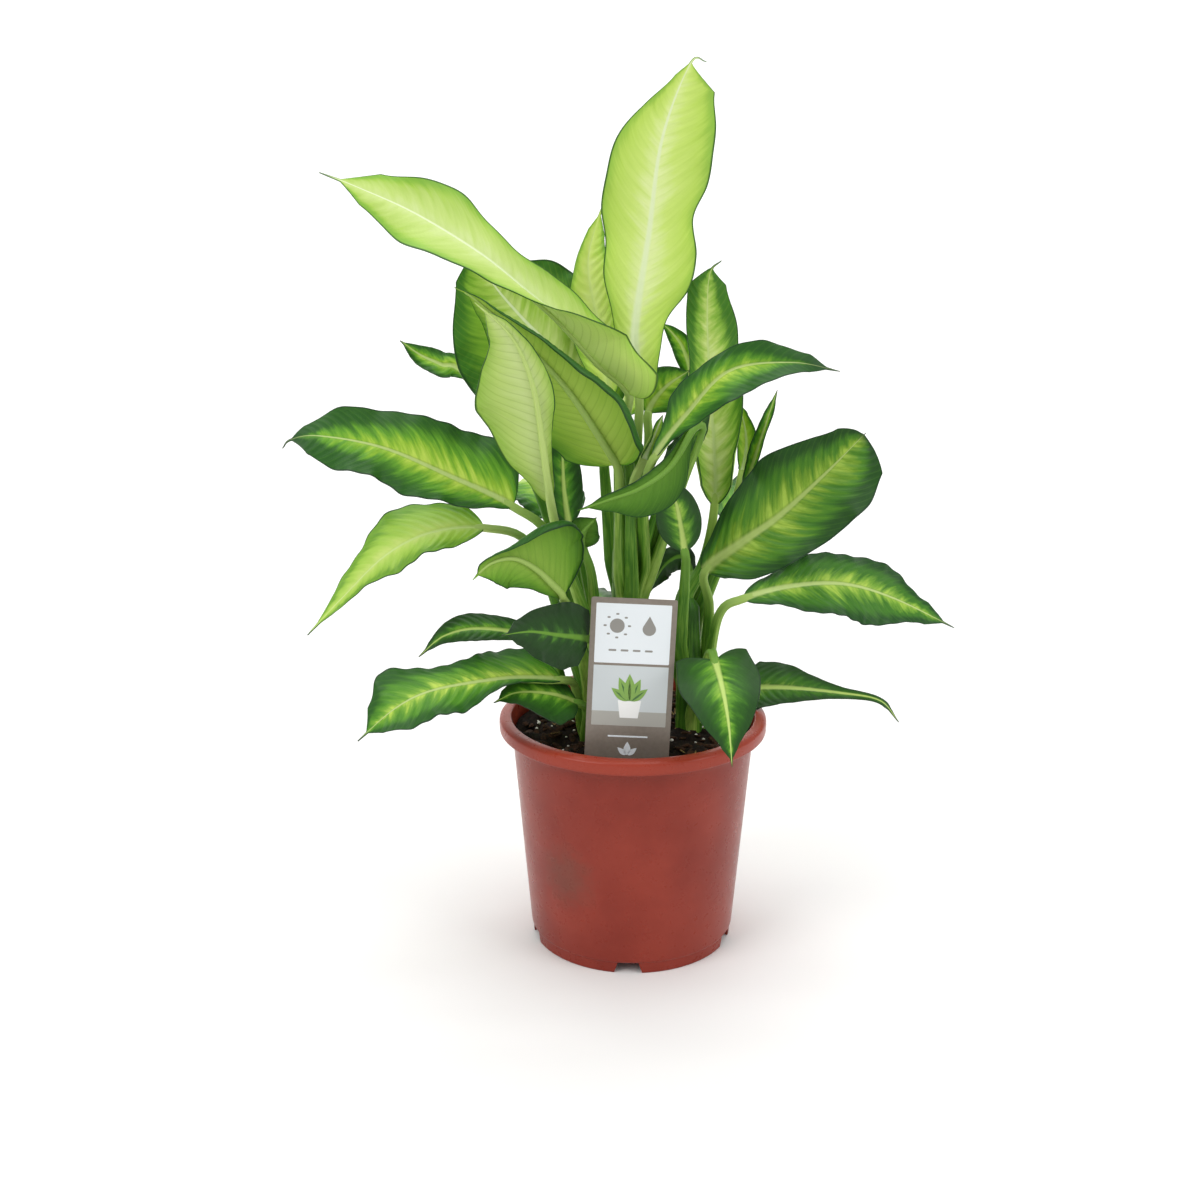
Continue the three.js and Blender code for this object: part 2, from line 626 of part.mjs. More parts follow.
// Points, tangents and upward normals at even steps of length. The normal starts from the face
// near the middle of the blade and is carried both ways without turning about the curve.
function leafFrame(spec) {
  const line = spec.line.map((p) => vector(...p));
  const knots = [rootPoint(spec.seat, line[0]), ...line];
  const curve = new THREE.CatmullRomCurve3(knots, false, 'catmullrom', 0.5);
  curve.arcLengthDivisions = curveSamples.perSpan * (knots.length - 1);
  const lengths = curve.getLengths();
  const joint = lengths[curveSamples.perSpan * 2] / lengths[lengths.length - 1];
  const count = curveSamples.frames;
  const points = [];
  const tangents = [];
  for (let i = 0; i <= count; i += 1) {
    points.push(curve.getPointAt(i / count));
    tangents.push(curve.getTangentAt(i / count));
  }
  const middle = Math.round(count * mix(joint, 1, blade.faceAt));
  const normals = [];
  const flat = (normal, i) => (
    normal.clone().addScaledVector(tangents[i], -normal.dot(tangents[i])).normalize()
  );
  normals[middle] = flat(vector(...spec.face), middle);
  for (let i = middle + 1; i <= count; i += 1) normals[i] = flat(normals[i - 1], i);
  for (let i = middle - 1; i >= 0; i -= 1) normals[i] = flat(normals[i + 1], i);
  const at = (u) => {
    const i = Math.min(Math.floor(u * count), count - 1);
    const f = u * count - i;
    const tangent = tangents[i].clone().lerp(tangents[i + 1], f).normalize();
    const normal = normals[i].clone().lerp(normals[i + 1], f);
    normal.addScaledVector(tangent, -normal.dot(tangent)).normalize();
    const point = points[i].clone().lerp(points[i + 1], f);
    return { point, tangent, normal, side: vector().crossVectors(tangent, normal) };
  };
  return { at, joint };
}

// Half the blade's width at t, from 0 at the joint to 1 at the tip. One number is the greatest
// width of a plain leaf outline. A list gives the widths halfway along each of its even steps.
function halfWidth({ width, tipStart = blade.tipStart }, t) {
  const u = Math.min(t / tipStart, 1);
  if (!Array.isArray(width)) {
    const { widest, taper } = blade;
    const rise = (taper * widest) / (1 - widest);
    return width * (u / widest) ** rise * ((1 - u) / (1 - widest)) ** taper;
  }
  const last = width.length - 1;
  const place = u * width.length - 0.5;
  if (place <= 0) return width[0] * Math.sqrt(u * width.length * 2);
  if (place >= last) return width[last] * (1 - u) * width.length * 2;
  const k = Math.min(Math.floor(place), last - 1);
  const f = place - k;
  const [b, c] = [width[k], width[k + 1]];
  const [a, d] = [width[k - 1] ?? b, width[k + 2] ?? c];
  const [slopeB, slopeC] = [(c - a) / 2, (d - b) / 2];
  return b + f * slopeB + f * f * (3 * (c - b) - 2 * slopeB - slopeC)
    + f * f * f * (2 * (b - c) + slopeB + slopeC);
}

// Where a half-section gets to at s, from 0 at the midrib to 1 at the margin, and its slope.
function halfSection(width, fold, curl, s) {
  let [x, z, slope] = [0, 0, fold];
  for (let i = 0; i < blade.curlSteps; i += 1) {
    const part = ((i + 0.5) * s) / blade.curlSteps;
    slope = radians(fold + curl * part * part);
    x += (Math.cos(slope) * width * s) / blade.curlSteps;
    z += (Math.sin(slope) * width * s) / blade.curlSteps;
  }
  return { x, z, slope: radians(fold + curl * s * s) };
}

// A half's width, fold and curl at t. Where it is narrow, it lies flat.
function halfShape(half, t) {
  const width = Math.max(halfWidth(half, t), blade.tipHalfWidth);
  const shaping = Math.min(1, width / blade.flatWidth - 0.2);
  const [fold, curl] = [half.fold ?? 0, half.curl ?? 0].map((value) => shaping * along(value, t));
  return { width, fold, curl };
}

// The point at t along the blade and s across it, -1 at the left margin and 1 at the right one,
// lifted off the middle of its thickness. At the midrib it is lifted midway between the halves.
function bladePoint(spec, frame, t, s, lift) {
  const hand = s < 0 ? -1 : 1;
  const half = s < 0 ? spec.left : spec.right;
  const { width, fold, curl } = halfShape(half, t);
  const section = halfSection(width, fold, curl, Math.abs(s));
  const slope = s === 0 ? radians(fold - halfShape(spec.left, t).fold) / 2 : section.slope;
  const offset = s === 0 ? lift / Math.max(Math.cos(slope), 0.5) : lift;
  const [depth, waves] = spec.wave ?? [0, 0];
  const phase = hand > 0 ? 0 : blade.wavePhase;
  const share = width / Math.max(...[half.width].flat());
  const ripple = depth * share * s * s * Math.sin(2 * Math.PI * waves * t + phase);
  const back = (spec.lobe ?? 0) * share * s * s * Math.max(0, 1 - t / blade.lobeReach) ** 2;
  const { point, tangent, normal, side } = frame.at(mix(frame.joint, 1, t));
  const place = point.clone().addScaledVector(tangent, -back);
  place.addScaledVector(side, hand * (section.x - offset * Math.sin(slope)));
  return place.addScaledVector(normal, section.z + ripple + offset * Math.cos(slope));
}

function leafGeometry(spec) {
  const frame = leafFrame(spec);
  const cells = spec.across ?? 2;
  const places = [];
  for (let k = -cells; k <= cells; k += 1) {
    places.push(Math.sign(k) * Math.abs(k / cells) ** blade.marginCrowding);
  }
  const rings = [];
  for (let i = 0; i <= petiole.steps; i += 1) {
    const f = i / petiole.steps;
    const { point, normal, side } = frame.at(frame.joint * f);
    const radius = mix(petiole.rootRadius, petiole.jointRadius, f);
    rings.push([...places, ...places].map((_, j) => {
      const angle = Math.PI * (1 - (j + 0.5) / places.length);
      return point.clone().addScaledVector(side, radius * Math.cos(angle))
        .addScaledVector(normal, radius * Math.sin(angle));
    }));
  }
  const steps = leafSteps[spec.size ?? 'big'];
  for (let i = 1; i <= steps; i += 1) {
    const x = i / steps;
    const t = mix(x, 0.5 - 0.5 * Math.cos(Math.PI * x), blade.endCrowding);
    const rib = blade.ribDepth * (1 - t);
    const upper = places.map((s) => bladePoint(spec, frame, t, s, blade.thickness / 2));
    const lower = places.map((s) => (
      bladePoint(spec, frame, t, s, -blade.thickness / 2 - (s === 0 ? rib : 0))
    ));
    rings.push([...upper, ...lower.reverse()]);
  }
  return loft(rings, places.length);
}

// ---------------------------------------------------------------- the plant in its pot

const group = new THREE.Group();

function addPiece(name, geometry, hex, roughness) {
  const piece = new THREE.Mesh(geometry, skin(hex, roughness));
  piece.name = name;
  group.add(piece);
}

addPiece('pot', makePot(), colour.pot, 0.4);
addPiece('soil', makeSoil(), colour.soil, 0.95);
addPiece('label', labelGeometry(), colour.label, 0.45);
for (const [name, cane] of Object.entries(canes)) {
  addPiece(`cane_${name}`, caneGeometry(cane), colour.cane, 0.5);
}
for (const [name, spec] of Object.entries(leaves)) {
  addPiece(name, leafGeometry(spec), colour[spec.tone], 0.45);
}

export default group;
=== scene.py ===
# %% [markdown]
# # A dieffenbachia in its nursery pot
#
# This lesson dresses a house plant: a moulded plastic pot, dark peat, a stick-in plant label, four
# fleshy canes, and thirty-five broad leaves that are pale in the heart and green at the edge. The
# solids of the plant are loaded first and stay the measure of everything: each piece made here
# stands where its solid stands, in metres, with +Z up and the origin on the floor under the pot.

# %% Load the solids
import math

import bpy
import numpy as np
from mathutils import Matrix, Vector


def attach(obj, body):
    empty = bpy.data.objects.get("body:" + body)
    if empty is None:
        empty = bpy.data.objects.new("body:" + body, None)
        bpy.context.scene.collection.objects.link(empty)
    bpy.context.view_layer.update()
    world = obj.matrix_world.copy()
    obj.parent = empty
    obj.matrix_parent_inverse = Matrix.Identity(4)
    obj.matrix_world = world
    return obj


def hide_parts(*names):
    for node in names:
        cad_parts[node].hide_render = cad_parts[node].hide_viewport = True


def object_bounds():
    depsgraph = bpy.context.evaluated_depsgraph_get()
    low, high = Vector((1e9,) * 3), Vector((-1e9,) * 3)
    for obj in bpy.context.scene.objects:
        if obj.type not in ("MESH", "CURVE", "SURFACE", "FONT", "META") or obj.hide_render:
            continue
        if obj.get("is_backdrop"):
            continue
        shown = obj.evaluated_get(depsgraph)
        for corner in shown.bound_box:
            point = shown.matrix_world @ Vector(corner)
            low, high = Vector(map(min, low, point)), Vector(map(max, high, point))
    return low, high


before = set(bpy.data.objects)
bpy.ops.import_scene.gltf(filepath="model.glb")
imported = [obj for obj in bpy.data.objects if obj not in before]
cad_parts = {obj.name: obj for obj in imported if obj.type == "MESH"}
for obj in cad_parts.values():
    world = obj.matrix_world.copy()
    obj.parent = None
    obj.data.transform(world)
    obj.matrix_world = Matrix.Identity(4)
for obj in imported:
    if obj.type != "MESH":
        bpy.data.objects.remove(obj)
solid_box = [list(corner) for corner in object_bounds()]
MM = 0.001
print("solids:", len(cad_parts), "box in mm:",
      [[round(v / MM) for v in corner] for corner in solid_box])

# %% [markdown]
# ## The camera
#
# The picture was taken from a little above the leaves, looking down sixteen degrees. The pot's
# rim and foot are circles of known size, so their outlines give the lens and the place it stood.

# %% Camera
CAMERA_PLACE = (-20.9, -956.0, 505.0)   # mm
CAMERA_PITCH = 16.35                    # degrees below the horizon
LENS, SENSOR_WIDTH = 47.85, 36.0        # mm

bpy.ops.object.camera_add(location=[v * MM for v in CAMERA_PLACE],
                          rotation=(math.radians(90 - CAMERA_PITCH), 0, 0))
camera = bpy.context.object
camera.data.lens = LENS
camera.data.sensor_width = SENSOR_WIDTH
bpy.context.scene.camera = camera
print("camera", [round(v, 3) for v in camera.location], "lens", camera.data.lens)

# %% [markdown]
# ## Colours and nodes
#
# Colours are written as the hex values that a paint chart would give. Blender works with light
# itself, so one function turns them to linear values. One more function adds a shader node with
# its settings, and fills its sockets with values, colours, or links from other nodes.

# %% Colour and node helpers
def linear(hex_colour):
    """An sRGB hex colour as linear red, green, blue and an alpha of one."""
    parts = [int(hex_colour[i:i + 2], 16) / 255 for i in (1, 3, 5)]
    return [p / 12.92 if p <= 0.04045 else ((p + 0.055) / 1.055) ** 2.4 for p in parts] + [1.0]


def fill(node, sockets):
    """Fills sockets, by name or number, with values or hex colours, or links them to nodes."""
    for key, value in sockets.items():
        if isinstance(value, bpy.types.Node):
            value = next(output for output in value.outputs if output.enabled)
        if isinstance(value, bpy.types.NodeSocket):
            node.id_data.links.new(value, node.inputs[key])
        else:
            node.inputs[key].default_value = linear(value) if isinstance(value, str) else value


def add_node(tree, kind, sockets=None, **settings):
    """Adds a shader node with its settings, and fills its sockets."""
    node = tree.nodes.new("ShaderNode" + kind)
    for key, value in settings.items():
        setattr(node, key, value)
    fill(node, sockets or {})
    return node


def set_ramp(node, stops):
    """Fills a colour ramp with pairs of place and hex colour, in rising order."""
    ramp = node.color_ramp
    while len(ramp.elements) < len(stops):
        ramp.elements.new(1.0)
    for element, (place, hex_colour) in zip(ramp.elements, stops):
        element.position = place
        element.color = linear(hex_colour)
    return node


def new_material(name, sockets):
    """A material named for what it is, its Principled shader, and its node tree."""
    material = bpy.data.materials.new(name)
    material.use_nodes = True
    shader = material.node_tree.nodes["Principled BSDF"]
    fill(shader, sockets)
    return material, shader, material.node_tree


print("terracotta in linear light:", [round(v, 3) for v in linear("#8e3a30")])

# %% [markdown]
# ## Selecting and editing
#
# An operator acts on whatever is selected. So a primitive is added with nothing else selected, and
# edges are chosen by the place of their ends. Points go in and out of a mesh in millimetres.

# %% Helpers for pieces
def show_only(piece):
    """Deselects everything else, and makes a piece the selected and active one."""
    bpy.ops.object.select_all(action="DESELECT")
    piece.select_set(True)
    bpy.context.view_layer.objects.active = piece


def start_with(primitive, **settings):
    """Adds a primitive with nothing else selected."""
    bpy.ops.object.select_all(action="DESELECT")
    primitive(**settings)
    return bpy.context.object


def mesh_piece(name, points, edges=(), faces=()):
    """A new object at the origin, from points in mm, selected and active."""
    mesh = bpy.data.meshes.new(name)
    mesh.from_pydata([[c * MM for c in p] for p in points], edges, faces)
    piece = bpy.data.objects.new(name, mesh)
    bpy.context.scene.collection.objects.link(piece)
    show_only(piece)
    return piece


def copy_of(pattern, name):
    """A copy of a piece with its own mesh."""
    piece = pattern.copy()
    piece.data = pattern.data.copy()
    piece.name = name
    bpy.context.scene.collection.objects.link(piece)
    return piece


def joined(pieces):
    """Joins pieces into the first of them, which stays selected and active."""
    show_only(pieces[0])
    for piece in pieces:
        piece.select_set(True)
    bpy.ops.object.join()
    return pieces[0]


def points_of(piece):
    """The piece's vertices as rows of x, y, z in mm."""
    rows = np.empty(len(piece.data.vertices) * 3)
    piece.data.vertices.foreach_get("co", rows)
    return rows.reshape(-1, 3) / MM


def place_points(piece, rows):
    """Puts the piece's vertices at these rows of x, y, z in mm."""
    piece.data.vertices.foreach_set("co", (np.asarray(rows) * MM).astype(np.float32).ravel())
    piece.data.update()


def turned(rows, x, y, z):
    """Rows of points turned about X, Y and Z, in radians."""
    for angle, (a, b) in ((x, (1, 2)), (y, (2, 0)), (z, (0, 1))):
        c, s = math.cos(angle), math.sin(angle)
        rows[:, a], rows[:, b] = c * rows[:, a] - s * rows[:, b], s * rows[:, a] + c * rows[:, b]
    return rows


def select_edges(piece, chosen):
    """Selects only the edges whose ends are both chosen, from one truth value a vertex."""
    bpy.ops.object.mode_set(mode="EDIT")
    bpy.context.tool_settings.mesh_select_mode = (False, True, False)
    bpy.ops.mesh.select_all(action="DESELECT")
    bpy.ops.object.mode_set(mode="OBJECT")
    for edge in piece.data.edges:
        edge.select = all(chosen[v] for v in edge.vertices)


def edit(*steps, everything=True):
    """Takes steps in edit mode, with all of the active piece selected or what already was."""
    bpy.ops.object.mode_set(mode="EDIT")
    if everything:
        bpy.ops.mesh.select_all(action="SELECT")
    for step, settings in steps:
        step(**settings)
    bpy.ops.object.mode_set(mode="OBJECT")


FACE_OUTWARDS = [(bpy.ops.mesh.select_all, dict(action="SELECT")),
                 (bpy.ops.mesh.normals_make_consistent, dict(inside=False))]


def extrude(x, y, z):
    """The step that extrudes what is selected by so many mm."""
    return (bpy.ops.mesh.extrude_region_move,
            dict(TRANSFORM_OT_translate={"value": (x * MM, y * MM, z * MM)}))


def smooth_up_to(angle):
    """Shades the active piece smooth, but for edges sharper than an angle in degrees."""
    bpy.ops.object.shade_smooth_by_angle(angle=math.radians(angle))


# %% [markdown]
# ## Floor and light
#
# A product photograph is taken on a white sweep, paper that runs back along the table and then
# curves up. Its light comes from large soft boxes left and right and from above, which give the
# pot its two upright gleams and leave the shadows pale.

# %% Sweep
SWEEP_SIZE, SWEEP_MIDDLE, SWEEP_RISE, SWEEP_BEND = 5000.0, 900.0, 3200.0, 1100.0   # mm

sweep = start_with(bpy.ops.mesh.primitive_plane_add, size=SWEEP_SIZE * MM,
                   location=(0, SWEEP_MIDDLE * MM, 0))
sweep.name = "paper_sweep"
bpy.ops.object.transform_apply(location=True)
select_edges(sweep, points_of(sweep)[:, 1] > SWEEP_MIDDLE)
edit(extrude(0, 0, SWEEP_RISE), everything=False)
rows = points_of(sweep)
select_edges(sweep, (rows[:, 1] > SWEEP_MIDDLE) & (rows[:, 2] < SWEEP_RISE / 2))
edit((bpy.ops.mesh.bevel, dict(offset=SWEEP_BEND * MM, segments=24)), everything=False)
bpy.ops.object.shade_smooth()
paper, _, _ = new_material("matt white background paper", {"Roughness": 0.9,
                                                           "Base Color": "#f4f3f1"})
sweep.data.materials.append(paper)
sweep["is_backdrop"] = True
print("sweep faces:", len(sweep.data.polygons))

# %% Soft boxes and room light
AIM = (0, 0, 0.28)           # the middle of the plant, in metres
SOFT_BOXES = {               # place, what it is aimed at, and size in metres; power in watts
    "key_left": ((-1.5, -1.3, 1.7), AIM, (1.2, 1.2), 21),
    "fill_right": ((1.6, -1.0, 1.3), AIM, (1.0, 1.4), 13),
    "overhead": ((0.0, 0.1, 2.2), AIM, (1.8, 1.6), 19),
    "wall_wash": ((0.0, 1.3, 2.6), (0, 3.3, 0.9), (3.0, 0.8), 60),
}
for name, (place, aim, size, power) in SOFT_BOXES.items():
    bpy.ops.object.light_add(type="AREA", location=place)
    lamp = bpy.context.object
    lamp.name = name
    lamp.data.shape = "RECTANGLE"
    lamp.data.size, lamp.data.size_y = size
    lamp.data.energy = power
    lamp.rotation_euler = (Vector(aim) - lamp.location).to_track_quat("-Z", "Y").to_euler()
    print(name, "power", power)

room = bpy.data.worlds.new("white studio")
room.use_nodes = True
fill(room.node_tree.nodes["Background"], {"Color": "#f6f8fa", "Strength": 0.55})
bpy.context.scene.world = room
bpy.context.scene.view_settings.view_transform = "Standard"

# %% [markdown]
# ## The pot
#
# A nursery pot is injection-moulded polypropylene, a little glossy, with a thin tapering wall, a
# rolled rim to carry it by, and a foot ring with notches that let water out. A body of
# revolution is drawn as half an outline and spun round its axis. The notches and drainage holes
# are then cut with cutters, one modelled and the rest copied.

# %% Pot outline
POT_HEIGHT, RIM_HEIGHT, WALL = 150.0, 9.0, 1.6
RIM_RADIUS, MOUTH_RADIUS, SHOULDER_RADIUS, FOOT_RADIUS = 85.0, 77.0, 77.0, 64.5
FOOT_BAND, FOOT_INSET, FLOOR = 7.5, 0.6, 2.0
SHOULDER = POT_HEIGHT - RIM_HEIGHT
FLOOR_TOP = FOOT_BAND + FLOOR
FLOOR_CORNER = 4.0                        # mm, where the floor turns up into the wall


def wall_radius(z):
    """The outside of the tapering wall, in mm."""
    return FOOT_RADIUS + FOOT_INSET + (SHOULDER_RADIUS - FOOT_RADIUS - FOOT_INSET) * z / SHOULDER


def rounded(points, radius, steps=4):
    """The points of an open outline, with each inner corner rounded off."""
    out = [points[0]]
    for before, corner, after in zip(points, points[1:], points[2:]):
        corner, before, after = (np.array(p, float) for p in (corner, before, after))
        near = [corner + (p - corner) * min(radius / max(np.linalg.norm(p - corner), 1e-6), 0.45)
                for p in (before, after)]
        for i in range(steps + 1):
            f = i / steps
            out.append(tuple((1 - f) ** 2 * near[0] + 2 * f * (1 - f) * corner + f * f * near[1]))
    return out + [points[-1]]


POT_OUTLINE = rounded([
    (0.0, FOOT_BAND), (FOOT_RADIUS - WALL, FOOT_BAND), (FOOT_RADIUS - WALL, 0.0),
    (FOOT_RADIUS, 0.0), (FOOT_RADIUS + 0.3, FOOT_BAND), (wall_radius(FOOT_BAND), FOOT_BAND + 0.5),
    (wall_radius(SHOULDER - 6), SHOULDER - 6), (SHOULDER_RADIUS + 0.5, SHOULDER - 2),
    (SHOULDER_RADIUS + 0.6, POT_HEIGHT - WALL - 0.6), (RIM_RADIUS - WALL, POT_HEIGHT - WALL - 0.8),
    (RIM_RADIUS - WALL, SHOULDER), (RIM_RADIUS - 0.2, SHOULDER), (RIM_RADIUS, SHOULDER + 4),
    (RIM_RADIUS - 0.2, POT_HEIGHT - 1.6), (RIM_RADIUS - 3, POT_HEIGHT),
    (MOUTH_RADIUS + 0.8, POT_HEIGHT), (MOUTH_RADIUS, POT_HEIGHT - 1.5),
    (wall_radius(SHOULDER) - WALL, SHOULDER - 3),
    (wall_radius(FLOOR_TOP + FLOOR_CORNER) - WALL, FLOOR_TOP + FLOOR_CORNER),
    (wall_radius(FLOOR_TOP) - WALL - FLOOR_CORNER, FLOOR_TOP), (0.0, FLOOR_TOP)], 1.2)
print("outline points:", len(POT_OUTLINE))

# %% Spin the pot
nursery_pot = mesh_piece("nursery_pot", [(r, 0, z) for r, z in POT_OUTLINE],
                         [(i, i + 1) for i in range(len(POT_OUTLINE) - 1)])
edit((bpy.ops.mesh.spin, dict(steps=128, angle=math.tau, center=(0, 0, 0), axis=(0, 0, 1))),
     (bpy.ops.mesh.remove_doubles, dict(threshold=1e-6)),
     (bpy.ops.mesh.normals_make_consistent, dict(inside=False)))
print("pot faces:", len(nursery_pot.data.polygons))

# %% Cut the notches and drainage holes
NOTCHES, FIRST_NOTCH, NOTCH_DEPTH, NOTCH_BOTTOM, NOTCH_TOP = 5, -93.0, 12.0, 18.0, 13.0
DRAINS, DRAIN_RADIUS, DRAIN_RING, DRILL_LENGTH = 8, 4.5, 44.0, 6.0


def notch_cutter():
    """A wedge-shaped block across the foot ring, at bearing 0."""
    block = start_with(bpy.ops.mesh.primitive_cube_add, size=1.0,
                       location=(FOOT_RADIUS * MM, 0, FOOT_BAND / 2 * MM))
    block.scale = (NOTCH_DEPTH * MM, NOTCH_BOTTOM * MM, (FOOT_BAND + 1) * MM)
    bpy.ops.object.transform_apply(location=True, scale=True)
    for vertex in block.data.vertices:
        if vertex.co.z > FOOT_BAND / 2 * MM:
            vertex.co.y *= NOTCH_TOP / NOTCH_BOTTOM
            vertex.co.z = (FOOT_BAND - 0.02) * MM
    return block


def drain_cutter():
    """A drill through the pot's floor, at bearing 0."""
    drill = start_with(bpy.ops.mesh.primitive_cylinder_add, vertices=32, radius=DRAIN_RADIUS * MM,
                       depth=DRILL_LENGTH * MM, location=(DRAIN_RING * MM, 0, (FLOOR_TOP - 1) * MM))
    bpy.ops.object.transform_apply(location=True)
    return drill


cutters = []
for make, count, first in ((notch_cutter, NOTCHES, FIRST_NOTCH), (drain_cutter, DRAINS, 0.0)):
    pattern = make()
    for i in range(count):
        cutter = copy_of(pattern, "cutter")
        turn = math.radians(first + i * 360 / count)
        place_points(cutter, turned(points_of(cutter), 0, 0, turn))
        cutters.append(cutter)
    bpy.data.objects.remove(pattern)
all_cutters = joined(cutters)
show_only(nursery_pot)
cut = nursery_pot.modifiers.new("notches and drains", "BOOLEAN")
cut.object, cut.operation, cut.solver = all_cutters, "DIFFERENCE", "EXACT"
bpy.ops.object.modifier_apply(modifier=cut.name)
bpy.data.objects.remove(all_cutters)
smooth_up_to(28)
print("pot after cutting:", len(nursery_pot.data.polygons), "faces")

# %% [markdown]
# ## The pot's plastic
#
# Moulded polypropylene is self-coloured all through: a warm red-brown here, with a soft gloss
# from the polished mould. What the eye reads is the slight cloudiness of the colour, the fine
# grain that breaks up the gleam, peat dust and a dull smear on one side, and a rim that looks
# lighter because it faces the light.

# %% Polypropylene of the pot
POT_BROWN, POT_DEEP, RIM_BROWN, DUST = "#913526", "#80291c", "#9a3a29", "#5f4a3e"
CLOUD_SIZE, SPECK_SIZE, GRAIN_SIZE = 45.45, 6.25, 1.111   # mm
SMEAR_PLACE, SMEAR_SIZE = (-45, -61, 62), 33.33   # mm; low on the left, as seen from the front

pot_plastic, shader, tree = new_material("moulded polypropylene",
                                         {"IOR": 1.49, "Specular IOR Level": 0.27})
place = add_node(tree, "TexCoord").outputs["Object"]
cloud = add_node(tree, "TexNoise", {"Vector": place, "Scale": 1 / (CLOUD_SIZE * MM), "Detail": 3.0})
base = set_ramp(add_node(tree, "ValToRGB", {"Fac": cloud}), [(0.3, POT_DEEP), (0.62, POT_BROWN)])
height = add_node(tree, "SeparateXYZ", {"Vector": place}).outputs["Z"]
on_rim = add_node(tree, "MapRange", {"Value": height, 1: (SHOULDER - 1) * MM, 2: (SHOULDER + 2) * MM})
with_rim = add_node(tree, "Mix", {0: on_rim, 6: base, 7: RIM_BROWN}, data_type="RGBA")
centred = add_node(tree, "Mapping", {"Vector": place, "Scale": [1 / (SMEAR_SIZE * MM)] * 3,
                                     "Location": [-c / SMEAR_SIZE for c in SMEAR_PLACE]})
distance = add_node(tree, "VectorMath", {0: centred}, operation="LENGTH")
speckle = add_node(tree, "TexNoise", {"Vector": place, "Scale": 1 / (SPECK_SIZE * MM),
                                      "Detail": 5.0, "Roughness": 0.7})
ragged = add_node(tree, "Math", {0: distance, 1: speckle}, operation="ADD")
smear = add_node(tree, "MapRange", {"Value": ragged, 1: 1.25, 2: 0.75, 3: 0.0, 4: 0.38})
soiled = add_node(tree, "Mix", {0: smear, 6: with_rim, 7: DUST}, data_type="RGBA")
gloss = add_node(tree, "MapRange", {"Value": speckle, 1: 0.3, 2: 0.8, 3: 0.24, 4: 0.4})
grain = add_node(tree, "TexNoise", {"Vector": place, "Scale": 1 / (GRAIN_SIZE * MM), "Detail": 2.0})
relief = add_node(tree, "Bump", {"Height": grain, "Strength": 0.12, "Distance": 0.2 * MM})
fill(shader, {"Base Color": soiled, "Roughness": gloss, "Normal": relief})
nursery_pot.data.materials.append(pot_plastic)
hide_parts("pot")
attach(nursery_pot, "root")
print("pot dressed in", pot_plastic.name)

# %% [markdown]
# ## The soil
#
# The pot is filled with moist peat to just under its rim. Peat has no outline of its own: it
# takes the pot's shape, and its top is a crumbly crust. A circle is inset ring by ring, the rings
# are raised by noise in two sizes, and the side is drawn down to the floor of the pot. Bark,
# straw and perlite are strewn over it, each modelled once and copied.

# %% Peat
SOIL_LEVEL, SOIL_RELIEF = 141.0, 1.6
SOIL_WAVES = ((0.13, 0.07), (-0.05, 0.16))   # radians a millimetre, along X and Y
CLEARANCE = 0.35                          # mm between pieces that stand against each other
SOIL_RINGS, SOIL_SIDES = 44, 144


def soil_height(x, y):
    """The lie of the soil in mm, without its crumbs."""
    swell = sum(wave(x * a + y * b) for wave, (a, b) in zip((np.sin, np.cos), SOIL_WAVES))
    return SOIL_LEVEL + SOIL_RELIEF * swell / 2


def crumbs(x, y):
    """Crumbly relief in mm, from waves of many directions and sizes."""
    total = np.zeros_like(np.asarray(x, float))
    for k in range(1, 15):
        turn, wave = 2.4 * k, 0.16 * 1.22 ** k
        total += np.sin((x * math.cos(turn) + y * math.sin(turn)) * wave + 1.7 * k) / (0.7 + 0.2 * k)
    return 0.75 * total


edge = wall_radius(SOIL_LEVEL - SOIL_RELIEF) - WALL - CLEARANCE
peat = start_with(bpy.ops.mesh.primitive_circle_add, vertices=SOIL_SIDES, radius=edge * MM,
                  fill_type="NGON")
peat.name = "peat"
bpy.context.tool_settings.mesh_select_mode = (False, False, True)
edit(*[(bpy.ops.mesh.inset, dict(thickness=edge * MM / SOIL_RINGS))] * (SOIL_RINGS - 1),
     (bpy.ops.mesh.poke, {}))
print("peat crust:", len(peat.data.polygons), "faces")

# %% Raise the crust and draw down the side
EDGE_BAND, EDGE_DROP = 4.0, 1.2           # mm, where the crust meets the pot

rows = points_of(peat)
rows[:, 2] = soil_height(rows[:, 0], rows[:, 1])
reach = np.clip((edge - np.hypot(rows[:, 0], rows[:, 1])) / EDGE_BAND, 0, 1)
rows[:, 2] += crumbs(rows[:, 0], rows[:, 1]) * reach - EDGE_DROP * (1 - reach)
place_points(peat, rows)
select_edges(peat, np.hypot(rows[:, 0], rows[:, 1]) > edge - 0.05)
foot_share = (wall_radius(FLOOR_TOP + FLOOR_CORNER) - WALL - CLEARANCE - 0.3) / edge
corner_share = (wall_radius(FLOOR_TOP) - WALL - FLOOR_CORNER - CLEARANCE) / (foot_share * edge)
for low, share in ((FLOOR_TOP + FLOOR_CORNER, foot_share), (FLOOR_TOP + CLEARANCE, corner_share)):
    edit((bpy.ops.mesh.extrude_region_move, {}),
         (bpy.ops.transform.resize, dict(value=(share, share, 1))), everything=False)
    for vertex in peat.data.vertices:
        if vertex.select:
            vertex.co.z = low * MM
edit((bpy.ops.mesh.fill, {}), *FACE_OUTWARDS, everything=False)
smooth_up_to(50)
print("peat:", len(peat.data.polygons), "faces")

# %% Bark, straw and perlite
GRAINS = {   # how many, the size of one in mm, and how much sizes differ
    "bark": (230, (6.0, 2.8, 1.4), 0.5),
    "straw": (60, (11.0, 0.8, 0.6), 0.4),
    "perlite": (95, (2.2, 1.9, 1.6), 0.45),
}
GRAIN_TILT = 0.4                          # radians either way
rng = np.random.default_rng(7)


